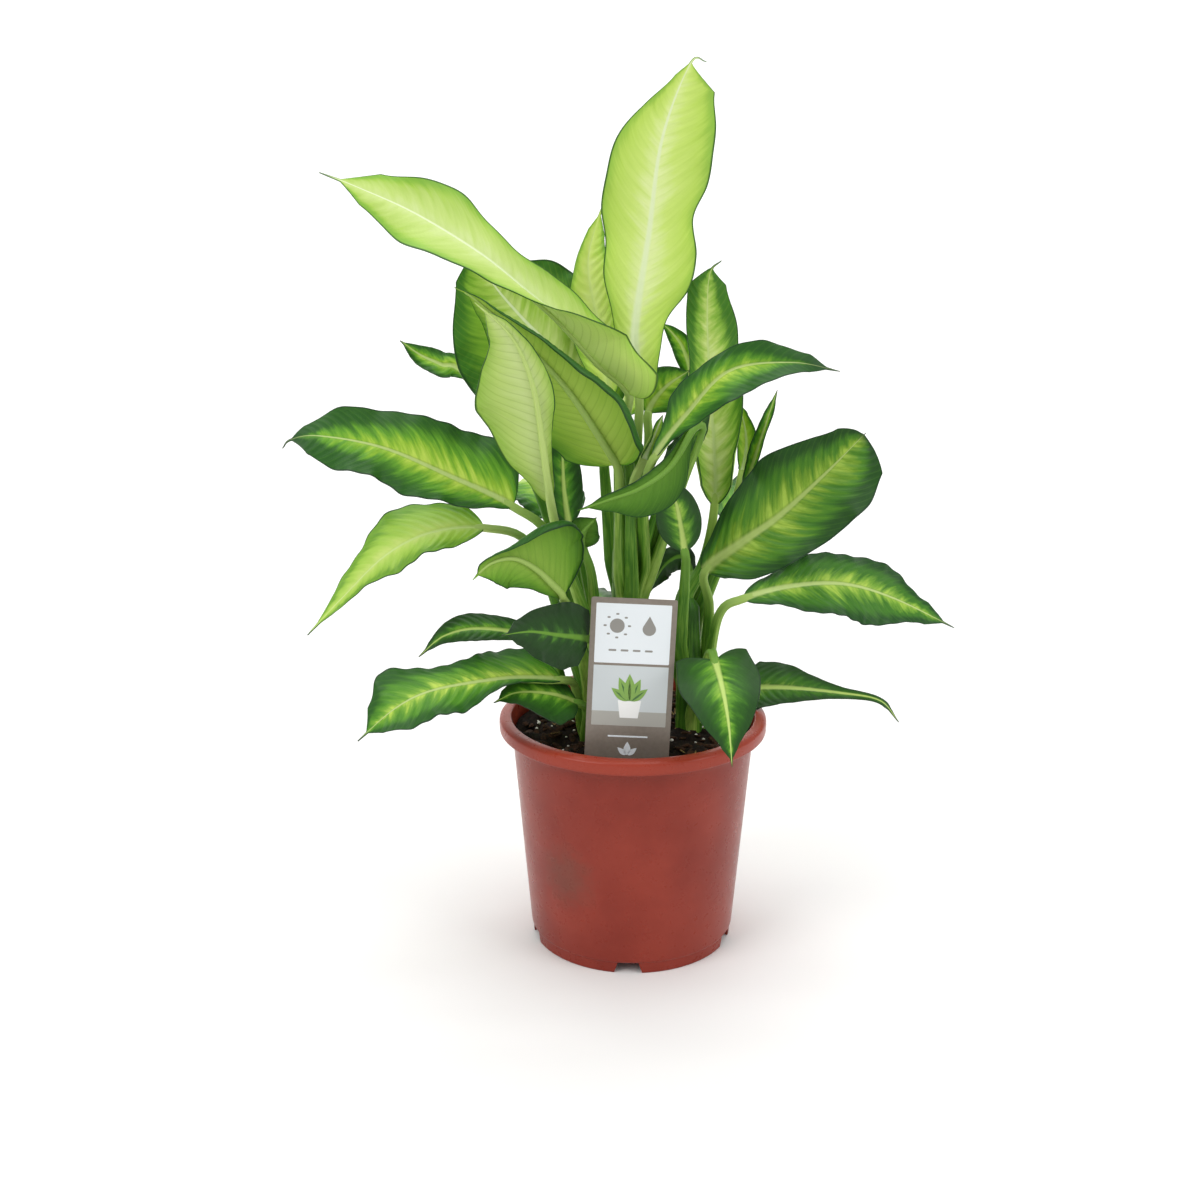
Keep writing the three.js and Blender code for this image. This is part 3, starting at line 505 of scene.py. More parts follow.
def grain_pattern(kind):
    """One grain at the origin, about 1 mm across before it is sized."""
    if kind == "perlite":
        grain = start_with(bpy.ops.mesh.primitive_ico_sphere_add, subdivisions=2, radius=0.5 * MM)
    else:
        grain = start_with(bpy.ops.mesh.primitive_cube_add, size=1.0 * MM)
        edit((bpy.ops.mesh.subdivide, dict(number_cuts=1, smoothness=0.4)))
    rows = points_of(grain)
    place_points(grain, rows * (1 + 0.22 * np.sin(rows * 9 + 1.3)))
    return grain


strewn = {}
for kind, (count, size, spread) in GRAINS.items():
    pattern = grain_pattern(kind)
    shape = points_of(pattern)
    copies = []
    for _ in range(count):
        radius, bearing = (edge - 5) * math.sqrt(rng.uniform(0.02, 1)), rng.uniform(0, math.tau)
        x, y = radius * math.cos(bearing), radius * math.sin(bearing)
        rows = turned(shape * np.array(size) * rng.uniform(1 - spread, 1 + spread),
                      rng.uniform(-GRAIN_TILT, GRAIN_TILT), rng.uniform(-GRAIN_TILT, GRAIN_TILT),
                      rng.uniform(0, math.tau))
        rows += (x, y, soil_height(x, y) + float(crumbs(x, y)) + size[2] * 0.3)
        copies.append(copy_of(pattern, "soil_" + kind))
        place_points(copies[-1], rows)
    bpy.data.objects.remove(pattern)
    strewn[kind] = joined(copies)
    smooth_up_to(35)
    print(kind, count, "grains,", len(strewn[kind].data.polygons), "faces")

# %% [markdown]
# Moist peat is nearly black, with warmer fibres where it has dried, and it has no gloss. Pine
# bark is a flat red-brown, straw is buff, and perlite is volcanic glass puffed up to a dull
# white foam. Noise at the size of the crumbs, two or three millimetres, tells them apart.

# %% Peat, bark, straw and perlite
EARTHS = {   # a dark and a light colour, the pattern's size in mm, and the relief in mm
    "moist peat": ("#0a0705", "#281c14", 2.2, 0.5),
    "pine bark": ("#1b110a", "#4a301e", 1.6, 0.2),
    "dry straw": ("#5a4829", "#9a8253", 1.5, 0.1),
    "perlite": ("#b9b5aa", "#ece9e2", 1.0, 0.15),
}
for piece, (name, (dark, light, size, depth)) in zip((peat, *strewn.values()), EARTHS.items()):
    earth, shader, tree = new_material(name, {"Roughness": 0.93, "Specular IOR Level": 0.15})
    place = add_node(tree, "TexCoord").outputs["Object"]
    noise = add_node(tree, "TexNoise", {"Vector": place, "Scale": 1 / (size * MM), "Detail": 5.0,
                                        "Roughness": 0.62})
    ramp = set_ramp(add_node(tree, "ValToRGB", {"Fac": noise}), [(0.36, dark), (0.72, light)])
    relief = add_node(tree, "Bump", {"Height": noise, "Strength": 0.7, "Distance": depth * MM})
    fill(shader, {"Base Color": ramp, "Normal": relief})
    piece.data.materials.append(earth)
    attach(piece, "root")
    print(piece.name, "is", name)
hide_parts("soil")

# %% [markdown]
# ## The plant label
#
# A stick-in label is a strip of printed polypropylene, less than a millimetre thick, with a
# narrowed stake in the soil. Its outline is drawn flat, extruded, and its edges are rounded off.
# The print is thin ink: a grey-brown ground, a white panel with two care signs, and a pale panel
# with a sprig. Each inked shape is its own thin layer on the card.

# %% Card of the label
LABEL_WIDTH, LABEL_HEIGHT, LABEL_BURIED, LABEL_THICK, LABEL_CORNER = 51.0, 101.0, 44.0, 0.8, 1.5
SPIKE_START, SPIKE_WIDTH = 15.0, 13.0
LABEL_FOOT, LEAN_RIGHT, LEAN_BACK = (-5.0, -59.0), 2.6, 2.0   # mm, and degrees


def stand(piece):
    """Leans a piece drawn x across and z up from the soil line, and stands it in the soil."""
    rows = turned(points_of(piece), math.radians(-LEAN_BACK), math.radians(LEAN_RIGHT), 0)
    place_points(piece, rows + (*LABEL_FOOT, SOIL_LEVEL))


def arc(cx, cz, radius, first, last, steps=8):
    """Points of a round arc, its bearings in degrees from +X."""
    turns = np.radians(np.linspace(first, last, steps + 1))
    return [(cx + radius * math.cos(a), cz + radius * math.sin(a)) for a in turns]


def slab(name, outline, near, far):
    """A slab with this outline in x and z, drawn at y = near and extruded to y = far."""
    piece = mesh_piece(name, [(x, near, z) for x, z in outline], faces=[list(range(len(outline)))])
    edit(extrude(0, far - near, 0), *FACE_OUTWARDS)
    return piece


half, top, corner = LABEL_WIDTH / 2, LABEL_HEIGHT, LABEL_CORNER
outline = (arc(half - corner, top - corner, corner, 0, 90)
           + arc(corner - half, top - corner, corner, 90, 180)
           + [(-half, -SPIKE_START), (-SPIKE_WIDTH / 2, -LABEL_BURIED),
              (SPIKE_WIDTH / 2, -LABEL_BURIED), (half, -SPIKE_START)])
card = slab("plant_label", outline, LABEL_THICK / 2, -LABEL_THICK / 2)
soften = card.modifiers.new("soft edge", "BEVEL")
soften.width, soften.segments, soften.angle_limit = 0.15 * MM, 3, math.radians(40)
bpy.ops.object.modifier_apply(modifier=soften.name)
stand(card)
smooth_up_to(35)
print("card:", len(card.data.polygons), "faces")

# %% Ink on the card
GROUND, GROUND_DARK, PANEL, SKY, TABLE = "#857b70", "#7f756a", "#e6ebee", "#c9cfd0", "#a9a79f"
SIGN, LEAF_INK, DARK_INK, POT_INK = "#8f8c86", "#7fa64c", "#3f6b33", "#f1f1ee"
INK_STEP, INK_SUNK = 0.03, 0.2            # mm that a layer stands proud of the last, and goes in


def drop(cx, cz, size):
    """The outline of a water drop."""
    return [(cx, cz + size * 1.25)] + arc(cx, cz, size * 0.62, 20, -200, 18)


def leaflet(cx, cz, length, width, turn, steps=10):
    """The outline of a small pointed leaf that starts at cx, cz and leans by turn degrees."""
    c, s = math.cos(math.radians(turn)), math.sin(math.radians(turn))
    side = [(i / steps, math.sin(math.pi * (i / steps) ** 0.8)) for i in range(steps + 1)]
    loop = [(width * w, length * t) for t, w in side] + [(-width * w, length * t)
                                                        for t, w in reversed(side[1:-1])]
    return [(cx + x * c + z * s, cz - x * s + z * c) for x, z in loop]


def bar(x0, z0, x1, z1, r=0.6):
    """A block with softened corners, from its lower left to its upper right corner."""
    return (arc(x1 - r, z1 - r, r, 0, 90) + arc(x0 + r, z1 - r, r, 90, 180)
            + arc(x0 + r, z0 + r, r, 180, 270) + arc(x1 - r, z0 + r, r, 270, 360))


inner = half - 3.2
SUN = (-9.5, top - 17)
PRINT = [("white ink", PANEL, bar(-inner, top - 40, inner, top - 3.4)),
         ("pale grey ink", SKY, bar(-inner, top - 79, inner, top - 41.5, 0.3)),
         ("stone ink", TABLE, bar(-inner, top - 79, inner, top - 70, 0.3)),
         ("white ink", POT_INK, [(-7, top - 63), (7, top - 63), (5.4, top - 74), (-5.4, top - 74)]),
         ("sign grey ink", SIGN, arc(*SUN, 4.4, 0, 360, 28)[:-1])]
for x, z in arc(*SUN, 7.2, 0, 360)[:-1]:
    PRINT += [("sign grey ink", SIGN, bar(x - 0.95, z - 0.55, x + 0.95, z + 0.55, 0.5))]
PRINT += [("sign grey ink", SIGN, drop(9.5, top - 18.5, 6.4))]
PRINT += [("sign grey ink", SIGN, bar(x, top - 32.6, x + 4.6, top - 31.4, 0.5))
          for x in (-14, -6.8, 0.4, 7.6)]
for x, lean, size in ((-1.0, -52, 13), (-0.4, -24, 16), (0.4, 22, 15), (1.0, 50, 12.5), (0, -2, 17)):
    PRINT += [("leaf green ink", LEAF_INK, leaflet(x, top - 63.4, size, size * 0.2, lean)),
              ("dark green ink", DARK_INK, leaflet(x, top - 63.4, size * 0.8, size * 0.05, lean))]
PRINT += [("white ink", PANEL, bar(-12, top - 86.2, 12, top - 85.2, 0.4)),
          ("white ink", PANEL, leaflet(0, top - 97.5, 8.5, 2.1, 0)),
          ("white ink", PANEL, leaflet(-0.6, top - 97.5, 7, 1.6, -48)),
          ("white ink", PANEL, leaflet(0.6, top - 97.5, 7, 1.6, 48))]
inks, layers = {}, []
for i, (ink, colour, shape) in enumerate(PRINT):
    proud = INK_STEP * (1 if i == 0 else min(1 + i * 0.12, 4))
    layers.append(slab("ink", shape, -LABEL_THICK / 2 - proud, INK_SUNK - LABEL_THICK / 2))
    stand(layers[-1])
    if (ink, colour) not in inks:
        inks[ink, colour], _, _ = new_material(ink, {"Base Color": colour, "Roughness": 0.42})
    layers[-1].data.materials.append(inks[ink, colour])
print("inked shapes:", len(layers), "inks:", len(inks))

# %% Join the print to the card
FIBRE_SIZE = 2.381                        # mm

printed_card, shader, tree = new_material("printed polypropylene card", {"Roughness": 0.4})
place = add_node(tree, "TexCoord").outputs["Object"]
fibre = add_node(tree, "TexNoise", {"Vector": place, "Scale": 1 / (FIBRE_SIZE * MM), "Detail": 3.0})
ground = set_ramp(add_node(tree, "ValToRGB", {"Fac": fibre}), [(0.35, GROUND_DARK), (0.65, GROUND)])
fill(shader, {"Base Color": ground})
card.data.materials.append(printed_card)
joined([card, *layers])
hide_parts("label")
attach(card, "root")
print("label:", len(card.data.polygons), "faces,", len(card.data.materials), "inks and grounds")

# %% [markdown]
# ## The canes
#
# A dieffenbachia's cane is a fleshy stem wrapped in the sheaths of its leaves. Each sheath is a
# rolled sheet, so its section is a spiral with one overlapping edge, and low down, where the old
# leaves have gone, rings mark where they sat. One tube is extruded ring by ring, and each cane is
# a copy of it, shaped round its own axis.

# %% One tube for all stems
TUBE_SIDES, TUBE_RINGS = 28, 64


def tube_pattern(sides, rings):
    """A closed tube 1 m long on +Z, of radius 1 m, extruded ring by ring."""
    tube = start_with(bpy.ops.mesh.primitive_circle_add, vertices=sides, radius=1.0,
                      fill_type="NGON")
    bpy.context.tool_settings.mesh_select_mode = (False, False, True)
    edit(*[extrude(0, 0, 1 / MM / rings)] * rings, *FACE_OUTWARDS)
    return tube


def give_veins(piece, *values):
    """Stores three numbers a vertex in the attribute that the plant's materials read."""
    layer = piece.data.attributes.new("veins", "FLOAT_VECTOR", "POINT")
    layer.data.foreach_set("vector", np.stack(values, 1).astype(np.float32).ravel())


stem_tube = tube_pattern(TUBE_SIDES, TUBE_RINGS)
print("tube:", len(stem_tube.data.polygons), "faces")

# %% Shape the canes
CANES = {   # the axis from foot to top and the two radii, in mm
    "centre": dict(foot=(-3, 6, 100), top=(-3, 0, 262), radii=(13, 10)),
    "right": dict(foot=(37, -2, 104), top=(34, 0, 226), radii=(9.5, 7)),
    "left": dict(foot=(-31, 14, 104), top=(-26, 6, 196), radii=(8.5, 6.5)),
    "low": dict(foot=(-22, -24, 110), top=(-22, -22, 164), radii=(7, 5.5)),
}
SCAR_SPACING, SCARS_UP_TO, SCAR_RELIEF = 17.0, 190.0, 0.03   # mm, mm, and a share of the radius
SHEATH_LAP = 0.055                        # how far a sheath's edge stands out, as a share
SHEATH_STEP = 46.0                        # mm from one sheath's edge to the next one up
LAP_BEARING, LAP_CANE, LAP_STEP = -1.9, 1.2, 2.1   # radians: at first, by cane, and by sheath
# LIT_BEARING is the side of each cane that its tissue paints lighter: painted light.
LAP_TWIST, LIT_BEARING = 0.006, 2.6       # radians a mm, and radians
DOME, DOME_OVER = 7.0, 1.5                # mm, the rounded top of a cane


def cane_axis(cane, z):
    """The middle of a cane at height z, in mm."""
    foot, top = np.array(cane["foot"], float), np.array(cane["top"], float)
    return foot + (top - foot) * ((z - foot[2]) / (top[2] - foot[2]))


def cane_radius(cane, z):
    """The radius of a cane at height z, in mm."""
    (low, high), foot, top = cane["radii"], cane["foot"][2], cane["top"][2]
    return low + (high - low) * (z - foot) / (top - foot)


stems = {}
for number, (name, cane) in enumerate(CANES.items()):
    stem = stems[name] = copy_of(stem_tube, "stem_" + name)
    x, y, share = (points_of(stem) * MM).T
    around = np.arctan2(y, x)
    foot, top = cane["foot"][2], cane["top"][2]
    z = foot + share * (top - foot)
    sheath = np.floor((z - 100) / SHEATH_STEP)
    lap_at = LAP_BEARING + LAP_CANE * number + LAP_TWIST * (z - 200) + LAP_STEP * sheath
    lap = np.mod(around - lap_at, math.tau) / math.tau
    scar = np.cos((z - foot) / SCAR_SPACING * math.tau) ** 24 * (z < SCARS_UP_TO)
    radius = cane_radius(cane, z) * (1 + SHEATH_LAP * (lap - 0.4) + SCAR_RELIEF * scar)
    radius *= np.sqrt(np.clip((top + DOME_OVER - z) / DOME, 0, 1)) * np.hypot(x, y)
    axis = np.stack([cane_axis(cane, v) for v in z])
    place_points(stem, axis + np.stack([radius * np.cos(around), radius * np.sin(around), 0 * z], 1))
    # The second value says how far a side faces LIT_BEARING; the tissue paints that side lighter, as
    # painted light.
    give_veins(stem, z, np.cos(around - LIT_BEARING), lap)
    show_only(stem)
    smooth_up_to(50)
    print("stem", name, round(top - foot), "mm")

# %% [markdown]
# Fresh stem tissue is smooth, juicy and slightly waxed: mid green with paler and yellower streaks
# that run up each sheath, and a satin sheen.

# %% Stem tissue
STREAK_STRETCH = (0.03, 3.2, 0)           # a millimetre along the stem, and once across it


def stem_tissue(name, dark, middle, light, rib=None):
    """Waxy green tissue, streaked along its length and with painted light on one side, as it reads
    from the attribute 'veins'.
    """
    material, shader, tree = new_material(name, {"Roughness": 0.45, "IOR": 1.42,
                                                 "Specular IOR Level": 0.3})
    veins = add_node(tree, "Attribute", attribute_name="veins").outputs["Vector"]
    length_mm, side, _ = add_node(tree, "SeparateXYZ", {"Vector": veins}).outputs
    drawn = add_node(tree, "VectorMath", {0: veins, 1: STREAK_STRETCH}, operation="MULTIPLY")
    streaks = add_node(tree, "TexNoise", {"Vector": drawn, "Scale": 1.6, "Detail": 4.0,
                                          "Roughness": 0.55})
    # Painted light: the side that the attribute's second value points to is painted lighter, as if
    # the lamps fell on it.
    band = add_node(tree, "MapRange", {"Value": side, 1: -0.2, 2: 1.0, 3: -0.12, 4: 0.2})
    streaked = add_node(tree, "Math", {0: streaks, 1: band}, operation="ADD")
    colour = set_ramp(add_node(tree, "ValToRGB", {"Fac": streaked}),
                      [(0.3, dark), (0.5, middle), (0.78, light)])
    if rib:
        under_blade = add_node(tree, "MapRange", {"Value": length_mm, 1: -32, 2: 3})
        colour = add_node(tree, "Mix", {0: under_blade, 6: colour, 7: rib}, data_type="RGBA")
    relief = add_node(tree, "Bump", {"Height": streaks, "Strength": 0.25, "Distance": 0.4 * MM})
    fill(shader, {"Base Color": colour, "Normal": relief})
    return material


cane_tissue = stem_tissue("waxy green cane tissue", "#2c5614", "#4a7a20", "#7ea444")
for name, stem in stems.items():
    stem.data.materials.append(cane_tissue)
    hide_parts("cane_" + name)
    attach(stem, "root")
print("stems dressed in", cane_tissue.name)

# %% [markdown]
# ## How a leaf is built
#
# A leaf of this plant is one petiole, fleshy and grooved on top, that runs on as the midrib of a
# broad thin blade. The midrib's line in space is a smooth curve through a few points. Along it
# a frame is carried that doesn't turn about the curve: the way on, the upper side, and the right
# hand. Each half of the blade is then a strip across that frame, with its own width, fold and
# curl at each place, so that a leaf can droop, cup, roll up or twist as leaves do.

# %% The midrib's line
ROOT_RADIUS, JOINT_RADIUS = 3.6, 2.7      # of a petiole, in mm
PER_SPAN, FRAMES = 60, 160
FACE_AT = 0.4                             # where along the blade its given face holds
SHEATH_DROP, SHEATH_ROWS = 26.0, 12       # mm that a petiole's sheath runs down its cane, and steps
SHEATH_RADIUS = 5.6                       # mm, at the foot of the sheath


def unit(rows):
    """Rows of vectors, each made one long."""
    return rows / np.linalg.norm(rows, axis=-1, keepdims=True)


def smooth_between(a, b, slope_a, slope_b, f):
    """From a to b as f goes from 0 to 1, with these slopes at the ends."""
    return ((2 * f**3 - 3 * f**2 + 1) * a + (f**3 - 2 * f**2 + f) * slope_a
            + (3 * f**2 - 2 * f**3) * b + (f**3 - f**2) * slope_b)


def root_point(seat, bend):
    """Where a petiole that heads for its bend leaves the skin of its cane, in mm."""
    cane, bend = CANES[seat["cane"]], np.array(bend, float)
    if "top" in seat:
        root = np.array(cane["top"], float) + (*seat["top"], 0)
        tilt = unit(bend - root)
        return root + (0, 0, CLEARANCE + ROOT_RADIUS * math.hypot(tilt[0], tilt[1]))
    angle = math.radians(seat["bearing"])
    outward = np.array((math.cos(angle), math.sin(angle), 0))
    skin = cane_axis(cane, seat["height"]) + outward * cane_radius(cane, seat["height"])
    heading = float(unit(bend - skin) @ outward)
    return skin + outward * (CLEARANCE + ROOT_RADIUS * math.sqrt(1 - heading ** 2))


def sheath_path(seat, root, way):
    """Places from the foot of the sheath, sunk in its cane, to just below the root, in mm."""
    cane, low = CANES[seat["cane"]], root[2] - SHEATH_DROP
    axis = cane_axis(cane, low)
    out = (root - axis) * (1, 1, 0)
    far = float(np.linalg.norm(out))
    foot = axis + out * min(1, (cane_radius(cane, low) - 0.8 * SHEATH_RADIUS) / max(far, 0.1))
    down = np.array((0, 0, -SHEATH_DROP))
    f = np.linspace(1, 0, SHEATH_ROWS, endpoint=False)[:, None]
    return smooth_between(root, foot, -way * SHEATH_DROP, down, f)


def midrib_frame(seat, line, face):
    """Places, ways on and upper sides along a leaf, from its sheath to its tip."""
    knots = np.array([root_point(seat, line[0]), *line], float)
    ends = np.vstack([2 * knots[0] - knots[1], knots, 2 * knots[-1] - knots[-2]])
    f = np.linspace(0, 1, PER_SPAN, endpoint=False)[:, None]
    spans = [smooth_between(a, b, (b - before) / 2, (after - a) / 2, f)
             for before, a, b, after in zip(ends, ends[1:], ends[2:], ends[3:])]
    points = np.vstack(spans + [knots[-1:]])
    reach = np.concatenate([[0], np.cumsum(np.linalg.norm(np.diff(points, axis=0), axis=1))])
    u = np.linspace(0, 1, FRAMES + 1)
    places = np.stack([np.interp(u * reach[-1], reach, points[:, c]) for c in range(3)], 1)
    foot = -SHEATH_DROP / reach[-1]
    u = np.concatenate([np.linspace(foot, 0, SHEATH_ROWS, endpoint=False), u])
    places = np.vstack([sheath_path(seat, places[0], unit(places[1] - places[0])), places])
    ways = unit(np.gradient(places, axis=0))
    joint = reach[2 * PER_SPAN] / reach[-1]
    uppers = np.zeros_like(places)
    middle = SHEATH_ROWS + round(FRAMES * (joint + (1 - joint) * FACE_AT))
    for order in (range(middle, len(u)), range(middle, -1, -1)):
        normal = np.array(face, float)
        for i in order:
            normal = unit(normal - ways[i] * (normal @ ways[i]))
            uppers[i] = normal
    return dict(u=u, places=places, ways=ways, uppers=uppers, joint=joint, foot=foot,
                length=reach[-1])


def at(curve, u):
    """The frame at the shares u of the length: place, way on, upper side and right hand."""
    place, way, upper = (np.stack([np.interp(u, curve["u"], curve[key][:, c]) for c in range(3)], 1)
                         for key in ("places", "ways", "uppers"))
    way = unit(way)
    upper = unit(upper - way * np.sum(upper * way, axis=1, keepdims=True))
    return place, way, upper, np.cross(way, upper)


print("frame steps along a leaf:", FRAMES)

# %% The blade's outline and section
TIP_HALF_WIDTH, TIP_START, FLAT_WIDTH = 0.9, 0.95, 4.5
WIDEST, TAPER = 0.42, 0.85


def half_width(width, t, tip_start, blunt):
    """Half the blade's width in mm at t, from 0 at the joint to 1 at the tip, which may be blunt."""
    u = np.minimum(t / tip_start, 1)
    if not isinstance(width, tuple):
        rise = TAPER * WIDEST / (1 - WIDEST)
        return width * (u / WIDEST) ** rise * ((1 - u) / (1 - WIDEST)) ** TAPER
    w = np.array(width, float)
    n = len(w)
    padded = np.concatenate([w[:1], w, w[-1:]])
    place = u * n - 0.5
    k = np.clip(np.floor(place), 0, n - 2).astype(int)
    a, b, c, d = (padded[k + i] for i in range(4))
    inner = smooth_between(b, c, (c - a) / 2, (d - b) / 2, np.clip(place - k, 0, 1))
    inner = np.where(place <= 0, w[0] * np.sqrt(np.maximum(u, 0) * n * 2), inner)
    fall = np.maximum(1 - u, 0) * n * 2
    return np.where(place >= n - 1, w[-1] * (np.sqrt(fall) if blunt else fall), inner)


def along(value, t):
    """One number, or some of them at even steps from the base to the tip."""
    if not isinstance(value, tuple):
        return np.full_like(t, float(value))
    return np.interp(t, np.linspace(0, 1, len(value)), value)


def half_section(width, fold, curl, hem, s, steps=24):
    """How far out and up in mm a strip gets at s, from 0 at the midrib to 1 at the margin."""
    x, z = np.zeros_like(s), np.zeros_like(s)
    for i in range(steps):
        part = s * (i + 0.5) / steps
        slope = np.radians(fold + curl * part**2 + hem * part**9)
        x += np.cos(slope) * width * s / steps
        z += np.sin(slope) * width * s / steps
    return x, z


middle_width = float(half_width(20, np.array([0.4]), TIP_START, False)[0])
print("half width at the middle of a plain 20 mm leaf:", round(middle_width, 1))

# %% [markdown]
# ## The blade and its petiole as meshes
#
# The blade starts as a flat grid whose rows run across the leaf. Its lines along the leaf are
# drawn together at the midrib, where it bends most. The grid is laid on the strips, with a sunk
# midrib, shallow quilting between the side veins and a gently waved margin, and Solidify then
# gives it its thickness. The petiole is a copy of the tube, grooved on top. It widens into a
# sheath that runs down into the cane, and its other end runs on under the blade as the midrib.
# Both carry one attribute of three values. The blade's are where on the midrib a point's side
# vein starts and how far out the point lies, both in millimetres, and that as a share.

# %% Grids for large and small blades
def blade_pattern(rows, columns):
    """A flat grid from -0.5 to 0.5 m each way, with columns across and rows along."""
    return start_with(bpy.ops.mesh.primitive_grid_add, x_subdivisions=columns, y_subdivisions=rows,
                      size=1.0, calc_uvs=True)


large_blade, small_blade = blade_pattern(132, 36), blade_pattern(72, 20)
petiole_tube = tube_pattern(14, 60)
print("blade faces:", len(large_blade.data.polygons), "and", len(small_blade.data.polygons))

# %% Lay a blade on its strips
BLADE_THICKNESS = 0.6
VEIN_SPACING, VEIN_SWEEP = 6.2, 0.66      # mm along the midrib, and how far forward the veins lean
QUILTING, GROOVE, GROOVE_WIDTH = 0.28, 0.7, 1.5   # mm
SMALL_LENGTH = 75.0                       # mm, blades up to this get the small grid
LOBE_REACH = 0.35                         # how far up the blade its basal lobes are felt
WAVE_PHASE = 2.0                          # radians between the waves of the two margins
SMALL_WAVES = 0.28                        # the height of the finer waves, as a share
VEIN_CURVE = 0.5                          # how much more the veins lean towards the margin


def rising(value):
    """From 0 up to 1, and no further either way."""
    return np.clip(value, 0, 1)


def lay_blade(name, curve, left, right, wave, lobe):
    """The blade of a leaf, as a solid piece with two faces and its attribute."""
    blade_length = curve["length"] * (1 - curve["joint"])
    piece = copy_of(small_blade if blade_length < SMALL_LENGTH else large_blade, name)
    across, along_grid, _ = points_of(piece).T * MM
    across, t = across * 2, along_grid + 0.5
    t = rising(0.5 * t + 0.5 * (0.5 - 0.5 * np.cos(np.pi * t)))
    s, on_right = np.abs(across) ** 1.05, across >= 0
    hand = np.where(on_right, 1.0, -1.0)
    place, way, upper, side = at(curve, curve["joint"] + (1 - curve["joint"]) * t)
    x, z, width, greatest = (np.zeros_like(t) for _ in range(4))
    for half, mask in ((right, on_right), (left, ~on_right)):
        w = half_width(half["width"], t, half.get("tip_start", TIP_START), half.get("blunt", False))
        w = np.maximum(w, 0.15 + TIP_HALF_WIDTH * rising((1 - t) * 12))
        shaping = np.minimum(1, w / FLAT_WIDTH - 0.2)
        fold, curl, hem = (shaping * along(half.get(key, 0), t) for key in ("fold", "curl", "hem"))
        for target, value in zip((x, z, width), (*half_section(w, fold, curl, hem, s), w)):
            target[mask] = value[mask]
        greatest[mask] = np.max(half["width"])
    depth, waves = wave
    depth = depth * width / greatest
    phase, seed = np.where(on_right, 0.0, WAVE_PHASE), sum(map(ord, name)) % 17
    ripple = depth * s**2 * np.sin(math.tau * waves * t + phase)
    ripple += SMALL_WAVES * depth * s**4 * np.sin(
        math.tau * (2.7 * waves + 0.3 * seed) * t + 2.1 * phase + seed)
    out_mm = s * width
    start = t * blade_length - out_mm * (VEIN_SWEEP + VEIN_CURVE * s**2)
    strength = rising(out_mm / 4) * rising((1 - s) * 6) * rising(width / 14)
    z += ripple + QUILTING * strength * np.cos(math.tau * start / VEIN_SPACING)
    z -= GROOVE * np.exp(-(out_mm / GROOVE_WIDTH) ** 2) * rising((1 - t) * 1.5) * rising(width / 8)
    back = lobe * width / greatest * s**2 * rising(1 - t / LOBE_REACH) ** 2
    place_points(piece, place + side * (hand * x)[:, None] + upper * z[:, None] - way * back[:, None])
    give_veins(piece, start, hand * out_mm, s)
    skin = piece.modifiers.new("thickness", "SOLIDIFY")
    skin.thickness, skin.offset, skin.use_even_offset = BLADE_THICKNESS * MM, 0.0, False
    skin.material_offset, skin.material_offset_rim = 1, 0
    piece.data.materials.append(None)
    piece.data.materials.append(None)
    show_only(piece)
    bpy.ops.object.modifier_apply(modifier=skin.name)
    return piece


print("blade grids are", "small up to", SMALL_LENGTH, "mm")

# %% Draw a petiole and its midrib
RIB_RADIUS, RIB_TIP, RIB_END = 2.3, 0.3, 0.97   # mm, mm, and a share of the leaf's length
JOINT_AT = 0.45                           # the share of the tube's rings that the petiole gets
TOP_HEIGHT, CHANNEL_DEPTH, CHANNEL_WIDTH = 0.72, 0.34, 0.38   # shares of the radius
RIB_SUNK = 0.92                           # how far the midrib sinks into the blade, as a share


def draw_petiole(name, curve):
    """The petiole with the midrib under the blade, as one tapering closed tube."""
    piece = copy_of(petiole_tube, name + "_petiole")
    x, y, share = points_of(piece).T * MM
    angle, out = np.arctan2(y, x), np.hypot(x, y)
    joint, foot = curve["joint"], curve["foot"]
    before = share < JOINT_AT
    u = np.where(before, foot + (joint - foot) * share / JOINT_AT,
                 joint + (RIB_END - joint) * (share - JOINT_AT) / (1 - JOINT_AT))
    place, _, upper, side = at(curve, u)
    t = rising((u - joint) / (1 - joint))
    f = 1 - rising((u - foot) / (joint - foot))
    radius = np.where(before, JOINT_RADIUS + (SHEATH_RADIUS - JOINT_RADIUS) * f**1.3,
                      JOINT_RADIUS + (RIB_RADIUS - JOINT_RADIUS) * rising(t * 12))
    radius = radius * np.where(before, 1.0, (1 - t) ** 0.9) + RIB_TIP * rising(t * 4)
    sunk = rising(t * 14) * radius * RIB_SUNK
    channel = CHANNEL_DEPTH * np.exp(-(np.cos(angle) / CHANNEL_WIDTH) ** 2)
    hollow = np.where(np.sin(angle) > 0, TOP_HEIGHT - channel, 1.0)
    across, over = np.cos(angle) * radius * out, np.sin(angle) * radius * hollow * out - sunk
    place_points(piece, place + side * across[:, None] + upper * over[:, None])
    # The second value picks the side of the petiole that its tissue paints lighter, as painted light.
    give_veins(piece, (u - joint) * curve["length"], np.cos(angle + 0.7), np.abs(np.cos(angle)))
    return piece


print("petiole tube:", len(petiole_tube.data.polygons), "faces")

# %% [markdown]
# ## Leaf surfaces
#
# The pale heart of the leaf is tissue with little green in it, and the green edge runs inward
# along the side veins in feathers. So the colour follows the share of the way out to the margin,
# pushed in and out by noise that is drawn out along the side veins. The upper side has a smooth
# cuticle with a satin gloss, the underside is paler and duller, and the midrib stays cream.

# %% What the leaf surfaces read
FEATHERS, HAIRS, BLOTCHES, CLOUDS = 1.25, 4.2, 0.42, 1.3   # how fine each noise is


def vein_values(tree):
    """The three values of a leaf's attribute, and its place from base to tip."""
    veins = add_node(tree, "Attribute", attribute_name="veins").outputs["Vector"]
    start, out_mm, share = add_node(tree, "SeparateXYZ", {"Vector": veins}).outputs
    uv = add_node(tree, "TexCoord").outputs["UV"]
    return start, out_mm, share, add_node(tree, "SeparateXYZ", {"Vector": uv}).outputs["Y"]


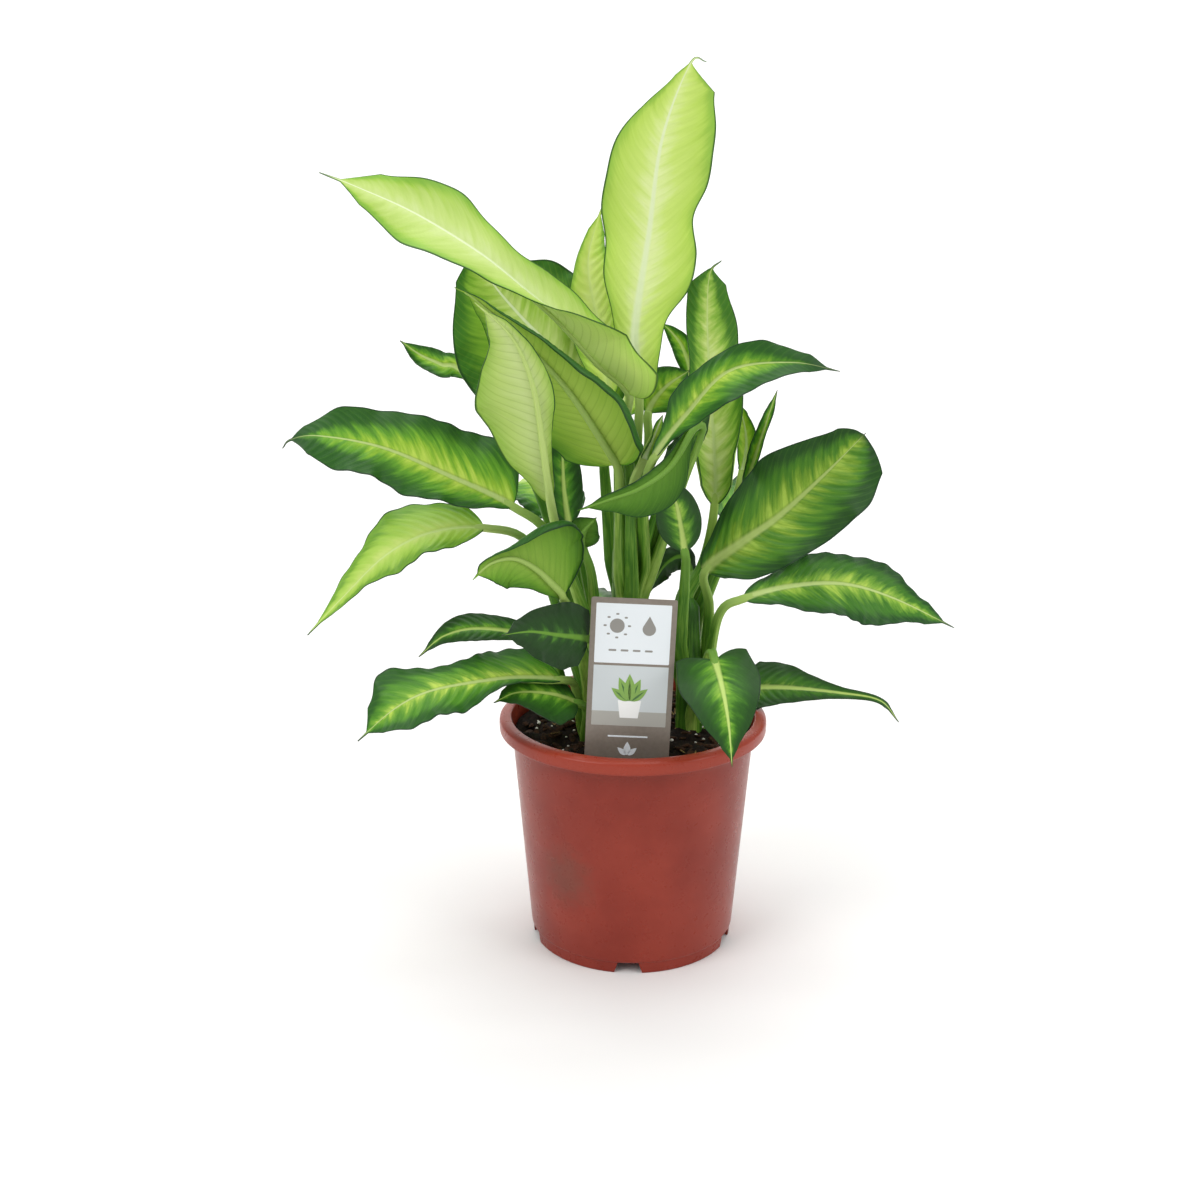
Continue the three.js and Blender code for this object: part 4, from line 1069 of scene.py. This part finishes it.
def vein_noise(tree, start, out_mm, share, scale, seed):
    """Noise drawn out along the side veins, different on the two halves."""
    stripes = add_node(tree, "Math", {0: start, 1: VEIN_SPACING}, operation="DIVIDE")
    sign = add_node(tree, "Math", {0: out_mm}, operation="SIGN")
    half = add_node(tree, "Math", {0: sign, 1: 7.3 + seed}, operation="MULTIPLY")
    drawn = add_node(tree, "CombineXYZ", {"X": stripes, "Y": share, "Z": half})
    return add_node(tree, "TexNoise", {"Vector": drawn, "Scale": scale, "Detail": 4.0,
                                       "Roughness": 0.6})


def soft_masks(tree, *bands):
    """A mask for each band, which rises smoothly to its most as a value goes from low to high."""
    return [add_node(tree, "MapRange", {"Value": value, 1: low, 2: high, 4: most},
                     interpolation_type="SMOOTHSTEP") for value, low, high, most in bands]


def layered(tree, surface, layers):
    """Lays colours over a surface, each as far as its mask lets it."""
    for mask, colour in layers:
        surface = add_node(tree, "Mix", {0: mask, 6: surface, 7: colour}, data_type="RGBA")
    return surface


print("side veins are", VEIN_SPACING, "mm apart, feathers", round(VEIN_SPACING / FEATHERS, 1), "mm")

# %% Upper side of a leaf
UPPER_RELIEF = 0.3                        # mm


def leaf_upper(name, paint):
    """Variegated upper side: a feathered pale heart, the green body, and a darker edge."""
    material, shader, tree = new_material(name, {"Roughness": 0.42, "IOR": 1.45,
                                                 "Specular IOR Level": 0.3})
    start, out_mm, share, along_leaf = vein_values(tree)
    veins = (start, out_mm, share)
    feathers = vein_noise(tree, *veins, FEATHERS, len(name))
    hairs = vein_noise(tree, *veins, HAIRS, 2.0)
    blotches = vein_noise(tree, *veins, BLOTCHES, 11.0)
    depth = paint["feather"]
    push = add_node(tree, "MapRange", {"Value": feathers, 1: 0.28, 2: 0.72, 3: -depth, 4: depth},
                    clamp=False)
    for noise, part in ((hairs, 0.4), (blotches, 0.9)):
        push = add_node(tree, "Math", {0: noise, 1: part * depth, 2: push},
                        operation="MULTIPLY_ADD")
    push = add_node(tree, "Math", {0: push, 1: 0.45 * depth}, operation="SUBTRACT")
    [tip] = soft_masks(tree, (along_leaf, 0.4, 1.0, paint["tip"]))
    pushed = add_node(tree, "Math", {0: share, 1: push}, operation="ADD")
    pushed = add_node(tree, "Math", {0: pushed, 1: tip}, operation="ADD")
    reach = paint["heart_to"]
    heart = set_ramp(add_node(tree, "ValToRGB", {"Fac": pushed}), [
        (0.12 * reach, paint["heart"]), (0.55 * reach, paint["middle"]), (reach, paint["body"]),
        (1.5 * reach, paint["deep"])])
    edge_at = add_node(tree, "Math", {0: push, 1: 0.35, 2: share}, operation="MULTIPLY_ADD")
    edge_at = add_node(tree, "Math", {0: edge_at, 1: tip}, operation="ADD")
    between = add_node(tree, "Math", {0: start, 1: VEIN_SPACING / 2}, operation="PINGPONG")
    rib_half = add_node(tree, "MapRange", {"Value": along_leaf, 2: 0.85, 3: paint["rib_half"],
                                           4: 0.25})
    off_rib = add_node(tree, "Math", {0: out_mm}, operation="ABSOLUTE")
    off_rib = add_node(tree, "Math", {0: off_rib, 1: rib_half}, operation="DIVIDE")
    in_edge, on_vein, beside_rib, on_rib, on_margin, on_tip = soft_masks(
        tree, (edge_at, paint["edge_from"] - 0.25, paint["edge_from"] + 0.06, 1.0),
        (between, 0.9, 0.1, paint["veins"]), (off_rib, 2.1, 1.1, paint["flank"]),
        (off_rib, 1.45, 0.45, 0.88), (share, 0.95, 0.985, 1.0),
        (along_leaf, paint["tip_from"], 0.99, 0.92))
    in_hem = add_node(tree, "Math", {0: on_margin, 1: on_tip}, operation="MAXIMUM")
    surface = layered(tree, heart, [
        (in_edge, paint["edge"]), (on_vein, paint["vein"]), (beside_rib, paint["edge"]),
        (on_rib, paint["rib"]), (in_hem, paint["margin"])])
    rise = add_node(tree, "Math", {0: hairs, 1: on_vein}, operation="SUBTRACT")
    relief = add_node(tree, "Bump", {"Height": rise, "Strength": 0.3, "Distance": UPPER_RELIEF * MM})
    fill(shader, {"Base Color": surface, "Normal": relief})
    return material


print("relief of an upper side:", UPPER_RELIEF, "mm")

# %% Underside of a leaf
UNDER_RELIEF = 0.4                        # mm


def leaf_under(name, paint):
    """Duller underside, with raised side veins a little darker than the tissue between them."""
    material, shader, tree = new_material(name, {"Roughness": 0.6, "IOR": 1.4,
                                                 "Specular IOR Level": 0.22})
    start, out_mm, share, _ = vein_values(tree)
    cloud = vein_noise(tree, start, out_mm, share, CLOUDS, 5.0)
    out = add_node(tree, "Math", {0: cloud, 1: 0.5, 2: share}, operation="MULTIPLY_ADD")
    out = add_node(tree, "Math", {0: out, 1: 0.25}, operation="SUBTRACT")
    tissue = set_ramp(add_node(tree, "ValToRGB", {"Fac": out}), [
        (0.15, paint["under"]), (0.6, paint["under_body"]), (0.98, paint["under_edge"])])
    between = add_node(tree, "Math", {0: start, 1: VEIN_SPACING / 2}, operation="PINGPONG")
    on_vein, on_margin = soft_masks(tree, (between, 0.8, 0.1, 0.24), (share, 0.95, 0.985, 0.9))
    surface = layered(tree, tissue, [(on_vein, paint["under_vein"]), (on_margin, paint["margin"])])
    rise = add_node(tree, "Math", {0: cloud, 1: on_vein}, operation="ADD")
    relief = add_node(tree, "Bump", {"Height": rise, "Strength": 0.35, "Distance": UNDER_RELIEF * MM})
    fill(shader, {"Base Color": surface, "Normal": relief})
    return material


print("relief of an underside:", UNDER_RELIEF, "mm")

# %% Leaf paints
PALE = dict(heart="#d9e98a", middle="#cde270", body="#bfda58", edge="#84b43c", margin="#35601f",
            rib="#e4efc4", vein="#a4c84c", heart_to=0.8, edge_from=1.0, feather=0.2, deep="#a9cb48",
            veins=0.06, flank=0.0, tip=0.2, tip_from=0.9, rib_half=2.1,
            under="#bcd264", under_body="#a9c752", under_edge="#8cb23e", under_vein="#98b84c",
            under_rib="#b9cf78")
LIME = dict(PALE, heart="#cfe17a", middle="#b0cf50", body="#80ae34", edge="#437a20",
            margin="#264e1c", deep="#64972a", heart_to=0.62, edge_from=0.92, feather=0.24,
            veins=0.1, flank=0.1,
            under="#a3bd58", under_body="#8fae44", under_edge="#5f8c2a", under_vein="#789a3a")
GREEN = dict(PALE, heart="#bcd456", middle="#93bb36", body="#5f9826", edge="#275819",
             margin="#1a3b1b", deep="#3c721b", rib="#b9cc80", vein="#5c922a", heart_to=0.55,
             edge_from=0.86, feather=0.27, veins=0.12, flank=0.3,
             under="#96b84a", under_body="#76a236", under_edge="#437620",
             under_vein="#5c8a2c", under_rib="#9cb85e")
DARK = dict(GREEN, heart="#93bc44", middle="#5f9628", body="#3c6f1c", edge="#24491a",
            margin="#1b3818", deep="#2c5a18", rib="#bcd272", vein="#356518",
            heart_to=0.42, edge_from=0.8,
            under="#5f8a2e", under_body="#47741f", under_edge="#2c5218", under_vein="#3c661c",
            under_rib="#6f9a3c")
# DEEP is the darkest paint; on the leaf behind the stems it is painted shade.
DEEP = dict(DARK, heart="#4c8024", middle="#305c18", body="#254a16", edge="#1c3a14",
            rib="#6d9c34", deep="#1f4214", vein="#284f18", heart_to=0.25, edge_from=0.75)
print("paints from the palest heart", PALE["heart"], "to the deepest edge", DEEP["edge"])

# %% [markdown]
# ## Growing a leaf
#
# A leaf is told by its seat on a cane, by the points of its midrib (the petiole's bend, the joint
# with the blade, and on to the tip), by the way that its upper side faces, and by its two halves.
# A half has its widths from base to tip in millimetres, and may have a fold along the midrib, a
# curl and a rolled hem in degrees. A wave is how deep a margin's waves are in millimetres and how
# many there are, and a lobe is how far in millimetres the base of the blade reaches back.

# %% Grow a leaf
PETIOLE_GREENS = "#40701b", "#628f2c", "#9fbf58"   # shaded, middle and light


def grow(name, paint, seat, line, face, left, right, wave=(0.8, 2), lobe=0):
    """Makes one leaf, petiole and all, in place of its solid, and says how long it is."""
    curve = midrib_frame(seat, line, face)
    short = name.replace("leaf_", "")
    blade = lay_blade(short + "_leaf", curve, left, right, wave, lobe)
    petiole = draw_petiole(short, curve)
    blade.data.materials[0] = leaf_upper(short + " leaf, satin cuticle", paint)
    blade.data.materials[1] = leaf_under(short + " leaf, dull underside", paint)
    petiole.data.materials.append(stem_tissue(short + " petiole, waxy", *PETIOLE_GREENS,
                                              rib=paint["under_rib"]))
    joined([blade, petiole])
    smooth_up_to(55)
    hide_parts(name)
    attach(blade, "root")
    print(name, round(curve["length"]), "mm long")


# %% [markdown]
# ## The crown
#
# The youngest full leaf stands upright at the top, almost wholly pale. Beside it a younger one is
# still half rolled, and a small one peers out behind.

# %% The crown leaves
grow("leaf_crown", seat=dict(cane="centre", top=(1, 4.6)), face=(0, -1, 0.1), wave=(2, 3),
     line=((2, 9, 325), (3, 10, 350), (0, 12, 389), (8, 14, 446), (15, 4, 501), (30, -8, 542),
           (39, -10, 543)),
     left=dict(width=(7, 10, 15, 23, 25, 30, 29, 26, 15, 5)),
     right=dict(width=(12, 16, 19, 29, 30, 25, 31, 31, 28, 20)),
     paint=dict(PALE, heart="#e2efa6", middle="#cde577", body="#bddb60", deep="#aed052",
                edge="#8fbd46", edge_from=1.07, feather=0.15, tip=0.2, tip_from=0.94, veins=0.1,
                rib_half=3.4))
grow("leaf_crown_young", seat=dict(cane="centre", top=(-4.8, -2.6)), face=(-0.1, -1, 0),
     line=((-10, -3, 320), (-15, 8, 350), (-22, 22, 392), (-28, 30, 430), (-19, 31, 464)),
     left=dict(width=(10, 16, 17, 9, 4)), right=dict(width=(9, 12, 15, 15, 7), fold=10),
     paint=dict(PALE, body="#b9da58", rib="#d5e68c"))
grow("leaf_crown_small", seat=dict(cane="centre", height=250, bearing=42), face=(0, -1, 0.2),
     line=((32, 44, 324), (37, 54, 354), (32, 56, 373), (25, 58, 383), (17, 60, 390)),
     left=dict(width=7), right=dict(width=7), paint=GREEN)

# %% [markdown]
# ## The upper left
#
# Two pale leaves lean left one behind the other. The long one folds its near half up at the base,
# so that its underside shows. In front of them two more are seen from below: one arched over
# towards the eye, and one standing with its back to it.

# %% The upper left leaves
grow("leaf_upper_left_long", seat=dict(cane="centre", top=(4.6, -3.4)),
     face=(0.1, -0.75, 0.65), wave=(3, 3), lobe=16,
     line=((-5, -16, 335), (-4, -20, 358), (-22, -27, 377), (-43, -34, 401), (-64, -40, 420),
           (-88, -46, 440), (-123, -52, 462), (-153, -58, 476), (-173, -62, 484)),
     left=dict(width=(32, 28, 24, 22, 25, 24, 10), fold=(72, 108, 60, 36, 20, 5, 0)),
     right=dict(width=(22, 22, 16, 27, 14)),
     paint=dict(PALE, heart="#cbdc92", middle="#bdd476", body="#acc95e", edge="#7fb03a",
                under="#dcf08e", under_body="#d0ea7c", under_edge="#b2d85c"))
grow("leaf_upper_left_broad", seat=dict(cane="centre", height=250, bearing=140),
     face=(-0.1, -0.95, 0.3), wave=(3, 3),
     line=((-18, 24, 300), (-21, 26, 334), (-42, 28, 368), (-70, 26, 398), (-87, 20, 420),
           (-98, 14, 445)),
     left=dict(width=(30, 50, 54, 45, 19)), right=dict(width=(28, 40, 42, 37, 16)),
     paint=dict(LIME, heart="#cbde86", middle="#a6c852", edge="#3f7622"))
grow("leaf_centre_arched", seat=dict(cane="centre", height=248, bearing=-112),
     face=(0.28, 0.86, 0.42), wave=(2, 3), lobe=6,
     line=((-9, -16, 295), (-11, -22, 315), (-23, -30, 338), (-41, -42, 366), (-64, -56, 393),
           (-89, -70, 417), (-100, -76, 424)),
     left=dict(hem=-200, width=(30, 36, 30, 20, 12, 5), curl=-30),
     right=dict(width=(32, 38, 34, 24, 8)),
     paint=dict(GREEN, edge="#2f611c", deep="#3d7020", margin="#24481e", under="#a6c452",
                under_body="#8eb43e", under_edge="#558a22"))
grow("leaf_centre_upright", seat=dict(cane="left", height=186, bearing=-60),
     face=(-0.2, 0.95, 0.2), wave=(2, 3),
     line=((-44, -30, 268), (-50, -42, 297), (-54, -62, 337), (-58, -80, 371), (-68, -94, 399),
           (-87, -106, 419)),
     left=dict(width=(4, 5, 8, 11, 8, 4), curl=-40), right=dict(width=(9, 21, 28, 34, 24, 9)),
     paint=dict(LIME, under="#c4d68c", under_body="#b2cc6c", under_edge="#90b648"))

# %% [markdown]
# ## The left
#
# A big feathered leaf reaches out level, a pale one droops from a bent petiole, and a cupped one
# hangs in front with its margin curled. The small dark leaves close to the stem fill the gaps.

# %% The left-hand leaves
grow("leaf_left_big", seat=dict(cane="left", height=188, bearing=-150),
     face=(0.15, -0.7, 0.7), wave=(3, 3),
     line=((-50, -18, 266), (-73, -24, 290), (-110, -30, 310), (-148, -36, 328), (-184, -42, 336),
           (-200, -44, 334), (-205, -44, 329)),
     left=dict(width=(7, 15, 20, 24, 22, 22, 20, 12)),
     right=dict(width=(30, 38, 35, 31, 29, 24, 20, 7)), paint=dict(GREEN, tip=0.7, tip_from=0.76))
grow("leaf_front_left_cupped", seat=dict(cane="left", height=172, bearing=-100),
     face=(-0.5, 0.8, -0.3), wave=(2, 2),
     line=((-36, -42, 222), (-43, -56, 242), (-51, -67, 255), (-60, -75, 266), (-71, -82, 273),
           (-83, -90, 272), (-92, -98, 265)),
     left=dict(hem=-120, width=(28, 34, 38, 42, 36, 12, 6, 4), curl=(0, 0, -60, -150, -90, 0)),
     right=dict(width=(4, 8, 12, 16, 17, 12)),
     paint=dict(GREEN, under="#86ab40", under_body="#6a982c", under_edge="#3f701c"))
grow("leaf_left_drooping", seat=dict(cane="left", height=184, bearing=165),
     face=(-0.2, -0.6, 0.75), wave=(3, 3),
     line=((-62, 2, 257), (-92, -8, 273), (-124, -16, 272), (-151, -22, 259), (-176, -26, 235),
           (-199, -30, 211)),
     left=dict(width=(12, 17, 15, 8, 3)), right=dict(width=(17, 28, 22, 13, 4)),
     paint=dict(LIME, heart="#c6da74", middle="#b2d25c", body="#9ec64a", edge="#74a432",
                rib="#cade8c", rib_half=1.4, feather=0.18, tip_from=0.92))
grow("leaf_left_inner", seat=dict(cane="left", top=(-3.2, 1.4)), face=(0.2, -0.9, 0.2),
     line=((-37, -4, 250), (-40, -2, 273), (-43, 3, 295), (-44, 8, 317), (-46, 12, 333)),
     left=dict(width=12), right=dict(width=12),
     paint=dict(DARK, heart="#7fa83a", middle="#558c24", body="#437a1e"))
grow("leaf_small_inner", seat=dict(cane="left", top=(3.4, -1.8)), face=(0.3, 0.8, 0.4),
     line=((-26, -16, 245), (-31, -22, 264), (-30, -28, 276), (-23, -36, 286)), left=dict(width=10),
     right=dict(width=10), paint=DARK)
grow("leaf_far_left_small", seat=dict(cane="left", height=190, bearing=118),
     face=(0.1, -0.8, 0.6),
     line=((-62, 42, 290), (-105, 56, 355), (-122, 56, 364), (-135, 56, 370), (-147, 54, 379)),
     left=dict(width=9), right=dict(width=9), paint=GREEN)

# %% [markdown]
# ## The centre
#
# Short leaves of the main cane cross in front of it, some seen from below and one still furled.

# %% The centre leaves
# Painted shade: this leaf hangs in the shade of the leaves above, and its underside colours are
# painted that much darker than GREEN's.
grow("leaf_centre_under", seat=dict(cane="centre", height=244, bearing=-20),
     face=(0.2, 0.9, 0.4),
     line=((28, -12, 300), (39, -18, 333), (33, -27, 337), (19, -43, 318), (2, -55, 308),
           (-16, -59, 302), (-34, -61, 296)),
     left=dict(hem=-90, width=(3, 5, 6, 5, 3)), right=dict(width=(3, 9, 19, 17, 6)),
     paint=dict(GREEN, under="#5d8a2c", under_body="#46721e", under_edge="#2f5818",
                under_rib="#6c9638"))
grow("leaf_centre_furled", seat=dict(cane="centre", height=236, bearing=-84),
     face=(0.3, -1, 0), line=((-2, -24, 296), (5, -23, 318), (10, -23, 330), (16, -24, 345)),
     left=dict(width=6, fold=30, curl=90), right=dict(width=6, fold=30, curl=90), paint=LIME)
grow("leaf_centre_dark", seat=dict(cane="centre", height=246, bearing=10),
     face=(0.5, -0.8, 0.3), wave=(2, 3),
     line=((16, -2, 272), (18, -6, 291), (24, -10, 312), (34, -11, 330), (47, -9, 350)),
     left=dict(width=9), right=dict(width=11), paint=DARK)
grow("leaf_centre_back", seat=dict(cane="centre", height=248, bearing=74),
     face=(-0.3, -0.9, 0.3), line=((9, 22, 315), (9, 26, 338), (19, 28, 353), (35, 30, 364)),
     left=dict(width=15), right=dict(width=15), paint=GREEN)

# %% [markdown]
# ## The right
#
# One leaf points right like a hand, one stands tall with its lower half still rolled, and the
# biggest leaf of the plant faces the eye, with green feathers running in from its dark edge.

# %% The right-hand leaves
grow("leaf_right_pointing", seat=dict(cane="centre", height=252, bearing=-52),
     face=(-0.1, -0.75, 0.65), wave=(2, 3),
     line=((5, -31, 297), (10, -41, 322), (29, -53, 351), (52, -58, 376), (87, -53, 380),
           (116, -46, 374)),
     left=dict(width=(5, 13, 12, 12, 6), fold=25), right=dict(width=(3, 11, 20, 14, 6), fold=15),
     paint=dict(GREEN, tip=0.85, tip_from=0.68, middle="#84ae30", body="#558c22", under="#7c9e3e",
                under_body="#5f8a2e", under_edge="#33621a"))
grow("leaf_right_tall", seat=dict(cane="right", top=(0, 2.6)), face=(0, -1, 0.1),
     wave=(2, 3),
     line=((45, 16, 246), (51, 22, 281), (50, 26, 321), (46, 26, 368), (44, 20, 405), (45, 12, 425),
           (51, 6, 432)),
     left=dict(width=(16, 22, 18, 12, 13, 12), fold=(12, 12, 8, 0, 0, 0),
               curl=(110, 120, 60, 0, 0, 0)),
     right=dict(width=(16, 22, 22, 19, 18, 11), fold=(12, 12, 8, 0, 0, 0),
                curl=(110, 120, 60, 0, 0, 0)),
     paint=dict(LIME, heart="#d4e492", middle="#bcd56c", body="#8fbb44", rib="#c8dc8c",
                rib_half=1.4, feather=0.3, tip=0.5, under="#bdd278", under_body="#abc860",
                under_edge="#93b64c", under_rib="#b0cc64", under_vein="#a2c058"))
grow("leaf_right_furled", seat=dict(cane="right", height=214, bearing=92), face=(0, -1, 0),
     line=((59, 40, 253), (70, 44, 297), (72, 46, 319), (67, 48, 341)),
     left=dict(width=10, fold=30, curl=60), right=dict(width=10, fold=30, curl=60), paint=LIME)
grow("leaf_right_spike", seat=dict(cane="right", height=214, bearing=48),
     face=(-0.5, -0.9, 0), line=((58, 22, 251), (70, 26, 288), (79, 24, 321), (88, 20, 353)),
     left=dict(width=6, fold=30, curl=60), right=dict(width=6, fold=30, curl=60), paint=GREEN)
grow("leaf_right_small", seat=dict(cane="right", height=200, bearing=-120),
     face=(0, -1, 0.1),
     line=((31, -22, 250), (30, -27, 263), (25, -29, 291), (20, -31, 303), (25, -34, 308)),
     left=dict(width=14), right=dict(width=13),
     paint=dict(DARK, heart="#b5d35c", middle="#7fae38", body="#4f8422"))
grow("leaf_right_big", seat=dict(cane="right", height=188, bearing=-6),
     face=(-0.05, -0.9, 0.45), wave=(2, 3),
     line=((47, -2, 222), (44, -4, 244), (65, -8, 263), (88, -14, 282), (113, -22, 309),
           (136, -26, 335)),
     left=dict(blunt=True, width=(10, 20, 27, 32, 34, 29, 22, 14), tip_start=0.985),
     right=dict(blunt=True, width=(13, 23, 27, 29, 31, 32, 32, 24), tip_start=0.985),
     paint=dict(GREEN, heart="#a2c048", middle="#769c2a", body="#4e821e", edge="#234c18",
                rib="#abc06c", rib_half=3.4, feather=0.34))
grow("leaf_right_low", seat=dict(cane="right", height=172, bearing=-36), face=(0, -0.7, 0.7),
     wave=(3, 3),
     line=((52, -18, 220), (67, -22, 232), (95, -16, 238), (128, -10, 238), (160, -6, 228),
           (201, -2, 207)),
     left=dict(width=(9, 18, 23, 19, 9)), right=dict(width=(10, 19, 25, 21, 8)),
     paint=dict(GREEN, heart="#a9c64c", middle="#6c9a2c", body="#3a7019", edge="#1f4a18",
                tip_from=0.82))

# %% [markdown]
# ## The low leaves
#
# The oldest leaves hang over the rim of the pot. They are small, deep green and pale only along
# the midrib, and the one in front is heart-shaped.

# %% The low leaves
grow("leaf_front_heart", seat=dict(cane="right", height=160, bearing=-76),
     face=(-0.1, -0.75, 0.7), lobe=22,
     line=((45, -42, 203), (47, -60, 205), (50, -82, 196), (53, -96, 179), (55, -104, 155)),
     left=dict(width=(20, 23, 20, 13, 4)), right=dict(width=(23, 25, 20, 14, 5)),
     paint=dict(DARK, rib="#c6dc7c"))
grow("leaf_right_lowest", seat=dict(cane="right", height=148, bearing=20),
     face=(0, -0.7, 0.7), wave=(2, 2),
     line=((56, 14, 157), (73, 18, 160), (101, 10, 163), (132, 0, 163), (156, -6, 160),
           (168, -10, 147)),
     left=dict(width=(19, 18, 10, 5, 3, 2)), right=dict(width=(17, 12, 8, 5, 3, 2)),
     paint=dict(DARK, heart="#7fa43c", middle="#4c7c20"))
grow("leaf_left_lowest", seat=dict(cane="low", height=150, bearing=170),
     face=(0.1, -0.45, 0.9), wave=(3, 3),
     line=((-36, -26, 177), (-44, -40, 186), (-69, -56, 193), (-94, -70, 195), (-121, -82, 193),
           (-140, -90, 185), (-161, -94, 167)),
     left=dict(width=(4, 4, 7, 13, 21, 22, 18, 8)),
     right=dict(width=(20, 26, 25, 18, 18, 22, 26, 14)),
     paint=dict(GREEN, middle="#74a430", body="#508a22"))
grow("leaf_front_soil", seat=dict(cane="low", height=146, bearing=-140),
     face=(0, -0.5, 0.85),
     line=((-29, -36, 165), (-35, -42, 172), (-50, -49, 180), (-70, -58, 184), (-84, -65, 180)),
     left=dict(width=(16, 24, 22, 13, 6)), right=dict(width=(10, 15, 15, 11, 5)), paint=DARK)
grow("leaf_front_dark", seat=dict(cane="low", top=(0, 0)), face=(0.1, -0.96, 0.28),
     wave=(2, 2),
     line=((-21, -38, 206), (-28, -50, 215), (-44, -68, 223), (-61, -80, 229), (-77, -90, 230)),
     left=dict(width=(17, 20, 18, 14, 7)), right=dict(width=(17, 20, 18, 14, 7)), paint=DEEP)
grow("leaf_left_folded", seat=dict(cane="left", height=142, bearing=-160),
     face=(0.1, -0.6, 0.8),
     line=((-50, 6, 186), (-65, 6, 199), (-96, 0, 206), (-118, -6, 203), (-134, -12, 191)),
     left=dict(width=(6, 8, 10, 7, 3)), right=dict(width=(9, 11, 12, 9, 3)), paint=DARK)

# %% [markdown]
# ## The back
#
# The plant is round, so leaves of ordinary shape grow on the far side too.

# %% The back leaves
# Painted shade: this leaf sits in shade behind the stems, and its deepest paint stands in for that
# shade.
grow("leaf_back_wavy", seat=dict(cane="right", height=190, bearing=140),
     face=(0, -0.8, 0.5), wave=(3, 2),
     line=((30, 20, 220), (38, 36, 232), (32, 44, 241), (21, 50, 233), (12, 54, 214)),
     left=dict(width=9), right=dict(width=9), paint=DEEP)
grow("leaf_back_left", seat=dict(cane="left", height=168, bearing=48),
     face=(-0.3, 0.1, 0.95), wave=(3, 3),
     line=((-34, 40, 240), (-42, 56, 262), (-58, 76, 280), (-74, 94, 280), (-86, 107, 268)),
     left=dict(width=26), right=dict(width=26), paint=GREEN)
grow("leaf_back_right", seat=dict(cane="right", height=186, bearing=70),
     face=(0.3, 0.1, 0.95), wave=(3, 3),
     line=((52, 42, 244), (62, 56, 262), (78, 75, 275), (92, 92, 275), (103, 105, 263)),
     left=dict(width=24), right=dict(width=24), paint=GREEN)
grow("leaf_back_upper", seat=dict(cane="centre", height=246, bearing=106),
     face=(0, -0.4, 0.9), wave=(3, 3),
     line=((-5, 44, 305), (-6, 58, 330), (-8, 78, 352), (-8, 94, 360), (-8, 108, 358)),
     left=dict(width=27), right=dict(width=27), paint=LIME)
grow("leaf_back_low", seat=dict(cane="centre", height=165, bearing=110),
     face=(0, 0.3, 0.95), wave=(2, 2),
     line=((-14, 40, 196), (-18, 52, 206), (-30, 74, 210), (-40, 92, 203), (-47, 106, 188)),
     left=dict(width=20), right=dict(width=20), paint=DARK)


# %% [markdown]
# ## Clear the patterns and measure
#
# The patterns that were copied are taken away, and the finished model's box is compared with the
# box of the solids, because the looks mustn't change the plant's size.

# %% Clear up and measure
for pattern in (stem_tube, large_blade, small_blade, petiole_tube):
    bpy.data.objects.remove(pattern)
looks_box = [list(corner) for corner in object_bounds()]
for corner, ours, theirs in zip(("lowest", "highest"), looks_box, solid_box):
    print(corner, "differs by mm:", [round((a - b) / MM, 1) for a, b in zip(ours, theirs)])
